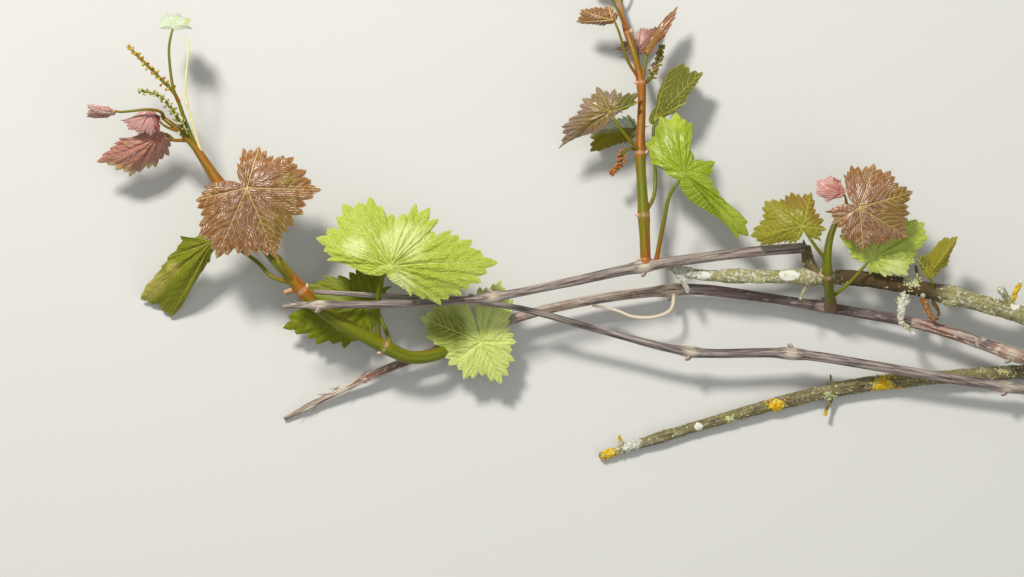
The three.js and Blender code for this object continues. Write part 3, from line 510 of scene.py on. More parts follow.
def colour(name):
    """A colour of the palette with full alpha."""
    return (*getattr(bpy.context.scene.vine_colours, name), 1)


def shrink_at(height):
    """How much a place at a height is drawn in, because what stands higher looks larger."""
    return (EYE_HEIGHT - (height - LAYOUT_HEIGHT)) / EYE_HEIGHT


def seen(place):
    """A place in the layout as a point in metres."""
    x, y, height = place
    shrink = shrink_at(height)
    return np.array((x * shrink - MIDDLE[0], y * shrink - MIDDLE[1], height)) * MM


# How many straight pieces stand for the curve between two points of a path
PIECES_OF_CURVE = 40

# Where along a rounded end a limb gets more rings, and the share of its girth that it keeps at the very tip
END_RINGS = (0.03, 0.12, 0.3, 0.6, 1)
END_GIRTH = 0.02


def unit(vector):
    return vector / np.linalg.norm(vector)


class Path:
    """The smooth curve through some points, read by share of its length."""

    def __init__(self, points):
        points = np.asarray(points, float)
        ends = np.vstack((2 * points[0] - points[1], points, 2 * points[-1] - points[-2]))
        run = []
        for a, b, c, d in zip(ends, ends[1:], ends[2:], ends[3:]):
            before, here, after = (np.linalg.norm(q - p) ** 0.5 for p, q in ((a, b), (b, c), (c, d)))
            out = ((b - a) / before - (c - a) / (before + here) + (c - b) / here) * here
            into = ((c - b) / here - (d - b) / (here + after) + (d - c) / after) * here
            t = np.linspace(0, 1, PIECES_OF_CURVE, endpoint=False)[:, None]
            bend = 3 * (c - b) - 2 * out - into
            run.append(b + out * t + bend * t**2 + (2 * (b - c) + out + into) * t**3)
        self.run = np.vstack((*run, points[-1:]))
        self.marks = np.concatenate(([0], np.cumsum(np.linalg.norm(np.diff(self.run, axis=0), axis=1))))
        self.length = self.marks[-1]

    def at(self, shares):
        distance = np.asarray(shares) * self.length
        return np.stack([np.interp(distance, self.marks, self.run[:, i]) for i in range(3)], axis=-1)

    def nearest(self, point):
        return self.run[np.argmin(np.linalg.norm(self.run - point, axis=1))]


def path_in_layout(places):
    return Path([seen(place) for place in places])


def limb_path(name):
    return path_in_layout((LIMBS.get(name) or CLUSTERS[name])["places"])


def stem_path(spec, places):
    """The points of a stem, with the first one moved onto the middle of its carrier."""
    points = [seen(place) for place in places]
    points[0] = limb_path(spec["carrier"]).nearest(points[0])
    return points


def spread(values, shares):
    """The values at shares of a list of values spaced evenly."""
    return np.interp(shares, np.linspace(0, 1, len(values)), values)


def stations(distance, step, blunt=(0, 0)):
    """Shares of a length a step apart, with more of them where an end is rounded over a length blunt."""
    count = max(4, round(distance / step))
    shares = list(np.linspace(0, 1, count + 1))
    for end, reach in zip((0, 1), blunt):
        shares += [abs(end - reach * part / distance) for part in END_RINGS] if reach else []
    return np.unique(np.clip(shares, 0, 1))


def rounding(shares, distance, blunt):
    """How much of its radius a limb has at each share, where its ends are rounded over a length blunt."""
    whole = np.ones_like(shares)
    for end, reach in zip((0, 1), blunt):
        if reach:
            inward = np.clip(np.abs(shares - end) * distance / reach, 0, 1)
            whole *= np.sqrt(np.maximum(1 - (1 - inward) ** 2, END_GIRTH**2))
    return whole


def strand(path, radius_of, tone_of, step, blunt=(0, 0)):
    """A line of points with the limb's radius and its three tones at each."""
    shares = stations(path.length, step, blunt)
    radius = radius_of(shares) * rounding(shares, path.length, blunt)
    return path.at(shares), radius, tone_of(shares)


def tones(rows):
    """The tones along a limb, from rows of [share of the length, first, second and third tone]."""
    rows = np.array(rows, float)
    return lambda shares: np.stack([np.interp(shares, rows[:, 0], rows[:, i]) for i in (1, 2, 3)], axis=1)


PLAIN = tones([[0, 0, 0, 0]])


def tapered(points, wide, narrow, tone, step, blunt=(0, 0)):
    """A strand through some points, of one tone, whose radius goes evenly from wide to narrow."""

    def radius_of(shares):
        return wide + (narrow - wide) * shares

    return strand(Path(points), radius_of, tones([[0, *tone]]), step, blunt)


def at_knots(name, shares, reach):
    """How close each share of a limb is to one of its knots, from 0 to 1."""
    path = limb_path(name)
    near = [np.exp(-(((shares - at) * path.length / reach) ** 2)) for at, _ in LIMBS[name]["knots"]]
    return np.clip(sum(near, np.zeros_like(shares)), 0, 1)


def limb_radius(name):
    spec = LIMBS[name]
    reach = KNOT_REACH * MM / limb_path(name).length

    def radius_of(shares):
        swelling = sum(extra * np.exp(-(((shares - at) / reach) ** 2)) for at, extra in spec["knots"])
        return (spread(spec["radius"], shares) + swelling) * MM

    return radius_of


# Node trees

class Value:
    """An output of a node. Reckoning with it adds maths nodes to its tree."""

    def __init__(self, tree, socket):
        self.tree = tree
        self.socket = socket

    def __add__(self, other):
        return maths("ADD", self, other)

    def __sub__(self, other):
        return maths("SUBTRACT", self, other)

    def __rsub__(self, other):
        return maths("SUBTRACT", other, self)

    def __mul__(self, other):
        return maths("MULTIPLY", self, other)

    def __truediv__(self, other):
        return maths("DIVIDE", self, other)

    def __rtruediv__(self, other):
        return maths("DIVIDE", other, self)


def node(tree, kind, inputs=None, **settings):
    """A new node. inputs maps a socket's name or number to a constant or a value."""
    made = tree.nodes.new(kind)
    for name, setting in settings.items():
        setattr(made, name, setting)
    for key, given in (inputs or {}).items():
        if isinstance(given, Value):
            tree.links.new(given.socket, made.inputs[key])
        else:
            made.inputs[key].default_value = given
    return made


def output(tree, kind, inputs=None, socket=0, **settings):
    """An output of a new node."""
    return Value(tree, node(tree, kind, inputs, **settings).outputs[socket])


def tree_of(*values):
    return next(value.tree for value in values if isinstance(value, Value))


def maths(operation, *values):
    return output(tree_of(*values), "ShaderNodeMath", dict(enumerate(values)), operation=operation)


def vector_maths(operation, a, b):
    return output(tree_of(a, b), "ShaderNodeVectorMath", {0: a, 1: b}, operation=operation)


def scaled(vector, factor):
    return output(vector.tree, "ShaderNodeVectorMath", {0: vector, "Scale": factor}, operation="SCALE")


def drawn_out(grain, share):
    """The grain with its length along the limb counted by a share only, so that noise in it runs along."""
    return vector_maths("MULTIPLY", grain, (1.0, 1.0, share))


def rise(value, low, high):
    """0 below low and 1 above high, with a smooth step between them."""
    inputs = {"Value": value, "From Min": low, "From Max": high}
    return output(value.tree, "ShaderNodeMapRange", inputs, interpolation_type="SMOOTHSTEP")


def blend(share, a, b, way="MIX"):
    """A mix of two colours."""
    inputs = {0: share, 6: a, 7: b}
    return output(tree_of(share, a, b), "ShaderNodeMix", inputs, 2, data_type="RGBA", blend_type=way)


def deepened(skin):
    """A colour multiplied by itself."""
    return blend(1.0, skin, skin, "MULTIPLY")


def speckle(vector, scale, detail=2.0, roughness=0.5):
    """Noise from 0 to 1."""
    inputs = {"Vector": vector, "Scale": scale, "Detail": detail, "Roughness": roughness}
    return output(vector.tree, "ShaderNodeTexNoise", inputs)


def parts(vector):
    """The three parts of a vector."""
    made = node(vector.tree, "ShaderNodeSeparateXYZ", {0: vector})
    return [Value(vector.tree, socket) for socket in made.outputs]


def joined(x=0.0, y=0.0, z=0.0):
    return output(tree_of(x, y, z), "ShaderNodeCombineXYZ", {0: x, 1: y, 2: z})


def attribute(tree, name):
    """A vector attribute of the mesh, in a shader."""
    return output(tree, "ShaderNodeAttribute", socket="Vector", attribute_name=name)


SOCKETS = {
    "colour": "NodeSocketColor", "shape": "NodeSocketGeometry", "material": "NodeSocketMaterial",
    float: "NodeSocketFloat", int: "NodeSocketInt",
}


def new_group(name, kind, inputs, outputs):
    """A node group, its inputs as values, and a function that links its outputs. inputs gives the kind of
    each input, or the usual value of a number."""
    tree = bpy.data.node_groups.new(name, kind)
    for label, given in inputs.items():
        socket = SOCKETS[given if isinstance(given, str) else type(given)]
        made = tree.interface.new_socket(label, in_out="INPUT", socket_type=socket)
        if not isinstance(given, str):
            made.default_value = given
    for label, socket in outputs.items():
        tree.interface.new_socket(label, in_out="OUTPUT", socket_type=SOCKETS[socket])
    start, end = tree.nodes.new("NodeGroupInput"), tree.nodes.new("NodeGroupOutput")

    def finish(*values):
        for value, socket in zip(values, end.inputs):
            tree.links.new(value.socket, socket)
        return tree

    return tree, {label: Value(tree, start.outputs[label]) for label in inputs}, finish


def skin_group(name, colours, **numbers):
    """A shader group with these colours and numbers as inputs, for the look of a surface."""
    inputs = {**dict.fromkeys(colours, "colour"), **numbers}
    return new_group(name, "ShaderNodeTree", inputs, {"Colour": "colour", "Dullness": float, "Height": float})


def once(build):
    """The node group that build makes, made on the first call and found again afterwards."""
    name = build.__name__.replace("_", " ").capitalize()
    return bpy.data.node_groups.get(name) or build(name)


SPECULAR = 0.25
COAT_ROUGHNESS = 0.25


def new_material(name, roughness, bump, build, coat=0.0, **values):
    """A material whose colour, roughness and height come from a shader group with its own values. roughness
    gives its least and its most, and bump how deep its relief is. A value that is a word names a colour."""
    material = bpy.data.materials.new(name)
    material.use_nodes = True
    tree = material.node_tree
    shader = tree.nodes["Principled BSDF"]
    values = {label: colour(value) if isinstance(value, str) else value for label, value in values.items()}
    pattern = node(tree, "ShaderNodeGroup", values, node_tree=once(build))
    skin, dullness, height = (Value(tree, socket) for socket in pattern.outputs)
    low, high = roughness
    dull = output(tree, "ShaderNodeMapRange", {"Value": dullness, "To Min": low, "To Max": high})
    lump = output(tree, "ShaderNodeBump", {"Height": height, "Distance": bump})
    for label, value in {"Base Color": skin, "Roughness": dull, "Normal": lump}.items():
        tree.links.new(value.socket, shader.inputs[label])
    shader.inputs["Specular IOR Level"].default_value = SPECULAR
    shader.inputs["Coat Weight"].default_value = coat
    shader.inputs["Coat Roughness"].default_value = COAT_ROUGHNESS
    return material


# How wide the main and the side veins of a blade are drawn at the foot, how that changes over the blade's
# length, and their least width
MAIN_VEIN_WIDTHS = (0.0007, -0.0006, 0.00024)
SIDE_VEIN_WIDTHS = (0.0005, -0.0012, 0.00018)

# The share of the distance between two side veins that lies between the rungs drawn from one to the other
RUNG_SHARE = 0.27

# Fixed colours of the patterns, as linear red, green and blue
BLADE_BACK = (0.42, 0.47, 0.3, 1)
STEM_SPECK = (0.55, 0.42, 0.12, 1)
STEM_SCAR = (0.75, 0.52, 0.36, 1)


def narrowing(run, foot, change, least):
    """The width of a vein at a share of the blade's length."""
    return maths("MAXIMUM", run * change + foot, least)


def leaf_blade(name):
    """Colour of a blade: main veins, side veins, rungs and a fine net on a mottled skin, with painted
    shade in the grooves beside the side veins, painted glints on the blisters, and a paler back.
    """
    tree, given, finish = skin_group(
        name, ("Inner", "Outer", "Vein", "Flush", "Glint"), Spacing=0.006, Length=0.05, Net=0.3, Gleam=0.5
    )
    phase, across, along = parts(attribute(tree, "vein_place"))
    share, flush, back = parts(attribute(tree, "leaf_zone"))
    spot = output(tree, "ShaderNodeTexCoord", socket="Object")
    patches = speckle(spot, 90.0, 3.0)

    main = 1.0 - rise(across / narrowing(along / given["Length"], *MAIN_VEIN_WIDTHS), 0.25, 1.0)
    to_line = maths("PINGPONG", phase, 0.5)
    thin = narrowing(across / given["Length"], *SIDE_VEIN_WIDTHS)
    side = 1.0 - rise(to_line * given["Spacing"] / thin, 0.2, 1.0)
    rung = patches * 2.5 + across / (given["Spacing"] * RUNG_SHARE)
    to_rung = maths("PINGPONG", rung, 0.5) * 2.0
    rungs = 1.0 - rise(to_rung, 0.0, 0.3)
    cells = {"Vector": spot, "Scale": 4.5 / given["Spacing"]}
    net = output(tree, "ShaderNodeTexVoronoi", cells, "Distance", feature="DISTANCE_TO_EDGE")
    fine = maths("MAXIMUM", 1.0 - rise(net, 0.02, 0.18), rungs * 0.9) * given["Net"]
    lines = maths("MAXIMUM", maths("MAXIMUM", main, side * 0.65), fine)

    outward = maths("POWER", share, 1.6) + (patches - 0.5)
    skin = blend(rise(outward, 0.1, 0.95), given["Inner"], given["Outer"])
    ragged = flush + (patches - 0.5) * 0.8
    skin = blend(rise(ragged, 0.15, 0.85), skin, given["Flush"])
    # Painted shade in the grooves beside the side veins, with random dark dots in the skin itself
    hollow = 1.0 - rise(to_line, 0.02, 0.28)
    dots = rise(speckle(spot, 900.0), 0.35, 0.75)
    skin = blend(hollow * 0.3 + dots * 0.22, skin, deepened(skin))
    # Painted glints: pale strokes on the crowns of the blisters, painted highlights in the glint colour
    painted_glints = rise(to_line, 0.08, 0.28) * rise(to_rung, 0.45, 0.8)
    painted_glints = painted_glints * rise(speckle(spot, 260.0), 0.42, 0.6) * (rise(patches, 0.4, 0.58) * 0.7 + 0.3)
    skin = blend(painted_glints * (given["Gleam"] - flush * 0.6), skin, given["Glint"])
    lines = maths("MAXIMUM", lines, rise(share, 0.93, 1.0) * 0.25)
    skin = blend(lines, skin, given["Vein"])
    skin = blend(back, skin, blend(0.4, skin, BLADE_BACK))

    crown = rise(to_line, 0.0, 0.4)
    raised = crown * rise(to_rung, 0.0, 0.9) * 0.9 + crown * 0.25
    raised = raised + rise(net, 0.0, 0.4) * 0.45 - main * 0.8
    grain = speckle(spot, 1400.0, 3.0) * 0.25
    return finish(skin, back * 0.7 + patches * 0.5, raised * (back * -2.0 + 1.0) + grain)


def fibrous_bark(name):
    """Colour of last year's bark: fine streaks along the cane. The first tone makes it pale above 0 and dark
    below, the dark being painted shade, the second peels it white and the third warms it."""
    tree, given, finish = skin_group(name, ("Dark", "Light", "Pale", "Warm"), Fibres=1500.0)
    grain = attribute(tree, "grain")
    paleness, peeling, warmth = parts(attribute(tree, "tone"))
    fibres = speckle(drawn_out(grain, 0.035), given["Fibres"], 3.0, 0.6)
    bands = speckle(drawn_out(grain, 0.1), 360.0, 3.0)
    streak = bands * 0.5 + fibres * 0.6
    skin = blend(rise(streak, 0.42, 0.68), given["Dark"], given["Light"])
    warm = rise(speckle(grain, 60.0), 0.3, 0.65)
    skin = blend(warm * 0.7 * warmth, skin, given["Warm"])
    # Painted shade: below a paleness of 0 the bark takes its dark furrow colour
    skin = blend(maths("MAXIMUM", paleness * -1.0, 0.0) * 0.8, skin, given["Dark"])
    peeled = peeling * rise(bands + (fibres - 0.5) * 0.5, 0.47, 0.55)
    pale = maths("MAXIMUM", paleness, 0.0) * rise(fibres, 0.25, 0.6)
    skin = blend(maths("MAXIMUM", pale * 0.85, peeled), skin, given["Pale"])
    flecks = rise(speckle(drawn_out(grain, 0.45), 480.0, 3.0), 0.56, 0.64)
    skin = blend(flecks * 0.65 * warmth, skin, given["Pale"])
    pits = rise(speckle(drawn_out(grain, 0.5), 1100.0), 0.66, 0.74)
    skin = blend(pits * 0.7, skin, given["Dark"])
    return finish(skin, fibres, streak - pits * 0.4)


def crusted_bark(name):
    """Colour of old bark: dark furrows, grey ridges, a green film, and white and yellow crusts of lichen. The
    first tone makes it paler, the second takes it to a dark brown, painted shade over brown bark, and the
    third as orange as torn wood."""
    tree, given, finish = skin_group(name, ("Dark", "Light", "Film", "White", "Yellow", "Brown", "Torn"))
    grain = attribute(tree, "grain")
    white, yellow, grey = parts(attribute(tree, "crust"))
    paleness, shade_brownness, torn = parts(attribute(tree, "tone"))
    fibres = speckle(drawn_out(grain, 0.09), 700.0, 4.0, 0.65)
    rough = speckle(drawn_out(grain, 0.3), 420.0, 4.0, 0.65)
    fine = speckle(grain, 1500.0, 3.0, 0.6)
    relief = fibres * 0.45 + (fine * 0.25 + rough * 0.3)
    skin = blend(rise(paleness * 0.08 + relief, 0.42, 0.6), given["Dark"], given["Light"])
    film = rise(paleness * 0.08 + speckle(grain, 160.0, 3.0), 0.4, 0.66) * rise(fine, 0.3, 0.6)
    skin = blend(film * 0.8, skin, given["Film"])
    # Painted shade over brown bark: the brown stretch takes the dark shaded brown
    skin = blend(shade_brownness, skin, blend(rise(relief, 0.4, 0.62), given["Dark"], given["Brown"]))
    skin = blend(torn * rise(relief, 0.36, 0.44), skin, given["Torn"])
    bare = 1.0 - shade_brownness
    flecks = rise(paleness * 0.1 + speckle(grain, 420.0, 3.0, 0.7), 0.6, 0.67)
    skin = blend(flecks * 0.6 * bare, skin, given["White"])
    dabs = rise(speckle(grain, 190.0, 3.0, 0.7), 0.64, 0.7)
    skin = blend(dabs * 0.6 * bare, skin, given["Yellow"])
    edge = (speckle(grain, 500.0, 3.0) - 0.5) * 0.9
    white = rise(white + edge, 0.42, 0.55)
    yellow = rise(yellow + edge, 0.4, 0.6)
    skin = blend(rise(grey + edge, 0.35, 0.55) * 0.8, skin, given["White"])
    skin = blend(white, skin, given["White"])
    skin = blend(yellow * rise(fine, 0.3, 0.55), skin, given["Yellow"])
    return finish(skin, relief, flecks * 0.15 + (white * 0.4 + relief))


def sawn_wood(name):
    """Colour of a cut end: yearly rings, and rays from the middle."""
    tree, given, finish = skin_group(name, ("Early", "Late"))
    grain = attribute(tree, "grain")
    x, y, _ = parts(grain)
    across = output(tree, "ShaderNodeVectorMath", {0: joined(x, y)}, 1, operation="LENGTH")
    wander = speckle(grain, 220.0) * 0.0012
    rings = rise(maths("PINGPONG", across + wander, 0.0007), 0.0, 0.0006)
    rays = speckle(joined(maths("ARCTAN2", y, x), across * 20.0), 14.0, 3.0)
    skin = blend(rings, given["Late"], given["Early"])
    skin = blend(rise(rays, 0.5, 0.62) * 0.5, skin, given["Late"])
    return finish(skin, rays, rings - rays)


def green_skin(name):
    """Colour of a green stem: ribbed, and flushed red where the sun reaches it. The first tone makes it pale,
    as at the scars of its nodes, and the third red."""
    tree, given, finish = skin_group(name, ("Green", "Red"), Sunned=0.5)
    grain = attribute(tree, "grain")
    paleness, _, redness = parts(attribute(tree, "tone"))
    ribs = speckle(drawn_out(grain, 0.03), 900.0)
    bands = speckle(drawn_out(grain, 0.12), 260.0, 3.0)
    _, facing, _ = parts(attribute(tree, "facing"))
    flush = redness + (facing * 0.7 + 0.3) * given["Sunned"] + (bands - 0.5) * 1.6
    skin = blend(rise(flush, 0.0, 0.9), given["Green"], given["Red"])
    skin = blend(rise(ribs, 0.5, 0.72) * 0.35, skin, deepened(skin))
    skin = blend(rise(speckle(grain, 1500.0, 1.0), 0.66, 0.74) * 0.5, skin, STEM_SPECK)
    skin = blend(paleness * rise(ribs, 0.3, 0.55), skin, STEM_SCAR)
    return finish(skin, bands, ribs)


def grainy_skin(name):
    """Colour of small things such as buds and lichen lobes: two colours dealt out in patches."""
    tree, given, finish = skin_group(name, ("First", "Second"), Patch=400.0)
    spot = output(tree, "ShaderNodeTexCoord", socket="Object")
    fine = speckle(spot, 2600.0)
    mixed = fine * 0.3 + speckle(spot, given["Patch"]) * 0.8
    return finish(blend(rise(mixed, 0.42, 0.68), given["First"], given["Second"]), fine, fine)


# Geometry node trees

# The noise hardly passes this, so what it raises stays within the frame's own surface
NOISE_CREST = 0.68
THIN_GIRTH = 0.0015


def named(tree, name, kind="FLOAT"):
    """An attribute of the mesh, in a geometry tree."""
    return output(tree, "GeometryNodeInputNamedAttribute", {"Name": name}, "Attribute", data_type=kind)


def stored(shape, name, value, kind="FLOAT_VECTOR"):
    """A shape with an attribute stored on its points."""
    inputs = {"Geometry": shape, "Name": name, "Value": value}
    settings = dict(data_type=kind, domain="POINT")
    return output(shape.tree, "GeometryNodeStoreNamedAttribute", inputs, **settings)


def shifted(shape, offset):
    return output(shape.tree, "GeometryNodeSetPosition", {"Geometry": shape, "Offset": offset})


def realized(shape):
    return output(shape.tree, "GeometryNodeRealizeInstances", {"Geometry": shape})


def finished(shape, material):
    """A shape as one real mesh in its material."""
    return output(shape.tree, "GeometryNodeSetMaterial", {"Geometry": realized(shape), "Material": material})


def small_ball(tree, radius):
    return output(tree, "GeometryNodeMeshUVSphere", {"Radius": radius, "Segments": 7, "Rings": 5}, "Mesh")


def roughened(shape, scale, amount):
    """Copies of a grain with their points pushed about by noise, so that no two are alike."""
    place = output(shape.tree, "GeometryNodeInputPosition")
    noise = output(shape.tree, "ShaderNodeTexNoise", {"Vector": place, "Scale": scale}, 1)
    return shifted(realized(shape), scaled(vector_maths("SUBTRACT", noise, (0.5, 0.5, 0.5)), amount))


def limb_skin(name):
    """Turns lines with a girth into closed limbs with ridges along them, and stores their grain."""
    inputs = {
        "Lines": "shape", "Sides": 32, "Ridge Height": 0.0005, "Ridge Size": 0.0015, "Ridge Draw": 0.1,
        "Lump Height": 0.0003, "Lump Size": 0.006, "Wear": 0.0, "Material": "material",
    }
    tree, given, finish = new_group(name, "GeometryNodeTree", inputs, {"Limbs": "shape"})
    girth = named(tree, "girth")
    line = output(tree, "GeometryNodeMeshToCurve", {"Mesh": given["Lines"]})
    line = stored(line, "distance", output(tree, "GeometryNodeSplineParameter", socket="Length"), "FLOAT")
    ring = output(tree, "GeometryNodeCurvePrimitiveCircle", {"Resolution": given["Sides"], "Radius": 1.0})
    ring = stored(ring, "around", output(tree, "GeometryNodeInputPosition"))
    inputs = {"Curve": line, "Profile Curve": ring, "Scale": girth, "Fill Caps": True}
    skin = output(tree, "GeometryNodeCurveToMesh", inputs)
    x, y, _ = parts(scaled(named(tree, "around", "FLOAT_VECTOR"), girth))
    skin = stored(skin, "grain", joined(x, y, named(tree, "distance")))

    grain = named(tree, "grain", "FLOAT_VECTOR")
    along = vector_maths("MULTIPLY", grain, joined(1.0, 1.0, given["Ridge Draw"]))
    ridges = speckle(along, 1.0 / given["Ridge Size"], 3.0)
    lumps = speckle(grain, 1.0 / given["Lump Size"])
    _, peeling, _ = parts(named(tree, "tone", "FLOAT_VECTOR"))
    depth = given["Ridge Height"] * (peeling * given["Wear"] + 1.0)
    raised = (ridges - NOISE_CREST) * depth + (lumps - NOISE_CREST) * given["Lump Height"]
    lift = raised * rise(girth, 0.0, THIN_GIRTH)
    skin = shifted(skin, scaled(output(tree, "GeometryNodeInputNormal"), lift))
    skin = stored(skin, "facing", output(tree, "GeometryNodeInputNormal"))
    return finish(finished(skin, given["Material"]))


def scattered_grains(name):
    """Scatters small uneven grains over a surface, as dense as its cover attribute says."""
    inputs = {
        "Surface": "shape", "Density": 1000.0, "Radius": 0.001, "Flatness": 0.5, "Unevenness": 0.4,
        "Tilt": 0.0, "Seed": 1, "Material": "material",
    }
    tree, given, finish = new_group(name, "GeometryNodeTree", inputs, {"Grains": "shape"})
    seed, radius = given["Seed"], given["Radius"]
    inputs = {"Mesh": given["Surface"], "Density": named(tree, "cover") * given["Density"], "Seed": seed}
    spots, _, outward = (
        Value(tree, socket) for socket in node(tree, "GeometryNodeDistributePointsOnFaces", inputs).outputs
    )
    size = output(tree, "FunctionNodeRandomValue", {2: 0.55, 3: 1.25, "Seed": seed}, 1, data_type="FLOAT")
    inputs = {0: (-1, -1, -3), 1: (1, 1, 3), "Seed": seed}
    lean = output(tree, "FunctionNodeRandomValue", inputs, data_type="FLOAT_VECTOR")
    lean = output(tree, "FunctionNodeEulerToRotation", {0: scaled(lean, given["Tilt"])})
    turned = output(tree, "FunctionNodeRotateRotation", {0: outward, 1: lean}, rotation_space="LOCAL")
    inputs = {
        "Points": spots, "Instance": small_ball(tree, radius), "Rotation": turned,
        "Scale": joined(size, size, size * given["Flatness"]),
    }
    grains = output(tree, "GeometryNodeInstanceOnPoints", inputs)
    grains = roughened(grains, 0.8 / radius, given["Unevenness"] * radius)
    return finish(finished(grains, given["Material"]))


def bead_spray(name):
    """Sets an uneven bead on each point, as large as its girth."""
    inputs = {"Spots": "shape", "Unevenness": 0.0003, "Material": "material"}
    tree, given, finish = new_group(name, "GeometryNodeTree", inputs, {"Beads": "shape"})
    spots = output(tree, "GeometryNodeMeshToPoints", {"Mesh": given["Spots"]})
    inputs = {"Points": spots, "Instance": small_ball(tree, 1.0), "Scale": named(tree, "girth")}
    beads = roughened(output(tree, "GeometryNodeInstanceOnPoints", inputs), 900.0, given["Unevenness"])
    return finish(finished(beads, given["Material"]))


# Objects

def new_object(name, mesh):
    thing = bpy.data.objects.new(name, mesh)
    bpy.context.scene.collection.objects.link(thing)
    return thing


def write(mesh, name, kind, values):
    """Writes an attribute on a mesh's points."""
    made = mesh.attributes.get(name) or mesh.attributes.new(name, kind, "POINT")
    made.data.foreach_set("value" if kind == "FLOAT" else "vector", np.asarray(values, np.float32).ravel())


def points_of(mesh):
    flat = np.empty(len(mesh.vertices) * 3, np.float32)
    mesh.vertices.foreach_get("co", flat)
    return flat.reshape(-1, 3).astype(float)


def grown(name, source, build, values):
    """The plain mesh object that a geometry node tree makes of a source mesh."""
    tree = once(build)
    thing = new_object(name, source)
    modifier = thing.modifiers.new("Growth", "NODES")
    modifier.node_group = tree
    for item in tree.interface.items_tree:
        if item.in_out == "INPUT" and item.name in values:
            modifier[item.identifier] = values[item.name]
    graph = bpy.context.evaluated_depsgraph_get()
    mesh = bpy.data.meshes.new_from_object(
        thing.evaluated_get(graph), preserve_all_data_layers=True, depsgraph=graph
    )
    thing.modifiers.clear()
    thing.data = mesh
    mesh.name = name
    turned_out(mesh)
    return thing


def turned_out(mesh):
    """Turns the faces of a closed mesh outwards and shades it smooth."""
    work = bmesh.new()
    work.from_mesh(mesh)
    bmesh.ops.recalc_face_normals(work, faces=work.faces)
    work.to_mesh(mesh)
    work.free()
    mesh.shade_smooth()


def lines_mesh(name, strands):
    """A mesh of separate lines with the girth and the tone at each point."""
    points, edges, girth, tone = [], [], [], []
    for places, radius, shade in strands:
        start = len(points)
        points += [tuple(place) for place in places]
        edges += [(start + i, start + i + 1) for i in range(len(places) - 1)]
        girth += list(radius)
        tone += [tuple(row) for row in shade]
    mesh = bpy.data.meshes.new(name)
    mesh.from_pydata(points, edges, [])
    write(mesh, "girth", "FLOAT", girth)
    write(mesh, "tone", "FLOAT_VECTOR", tone)
    return mesh


def limb_object(name, strands, material, sides, **values):
    """One object of limbs grown along lines."""
    inputs = {"Sides": sides, "Material": material, **values}
    return grown(name, lines_mesh(name + "_lines", strands), limb_skin, inputs)


def hand_over(thing, nodes):
    """Rides a piece on the branch and lets it stand for its nodes."""
    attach(thing, "root")
    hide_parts(*nodes)


# Leaves

# How blunt the teeth and the fine teeth between them are, how many fine teeth one tooth has, and the fewest
# columns of the mesh in a tooth
BLUNTNESS = 1.3
FINE_BLUNTNESS = 1.4
FINE_TEETH = 3
TOOTH_COLUMNS = 8

# Half the angle of the hollow in degrees, and how late its side turns in towards the stalk
HOLLOW_SHAPES = ((13, 35, 65, 150), (0.45, 1.3, 3, 7))

# The angle between two turns of the outline, in degrees, at which the edge between them draws in by LOBING
LOBE_ANGLE = 45

# How many side veins lie along the longest vein, the least distance between them, how far they lean and bend
# towards the tip, and how far they wander
SIDE_VEINS = 9
LEAST_VEIN_STEP = 0.0022
VEIN_LEAN = 0.75
VEIN_BEND = 2.2
VEIN_WANDER = 0.3

# The largest angle off its main vein that a point of the blade is counted at, in degrees
WIDEST_SIDE = 80

# How wide the groove of a main vein and the rib under it are, how deep the rib is beside the groove, and how
# many rings of the mesh a blade has at least and at most
GROOVE_WIDTH = 0.0008
RIB_WIDTH = 0.0005
RIB_DEPTH = 1.5
BLADE_RINGS = (10, 44)

# How far the edge waves up and down, as a share of the blade
EDGE_WAVE = 0.012


def from_joint(spec, entry):
    """A place on a leaf as a vector from its joint."""
    x, y, height = spec["stalk"][-1]
    bearing, reach, lift = entry
    turn = math.radians(bearing)
    tip = seen((x + reach * math.cos(turn), y + reach * math.sin(turn), height + lift))
    return tip - seen((x, y, height))


def angle(a, b):
    cosine = np.dot(a, b) / (np.linalg.norm(a) * np.linalg.norm(b))
    return math.acos(max(-1.0, min(1.0, cosine)))


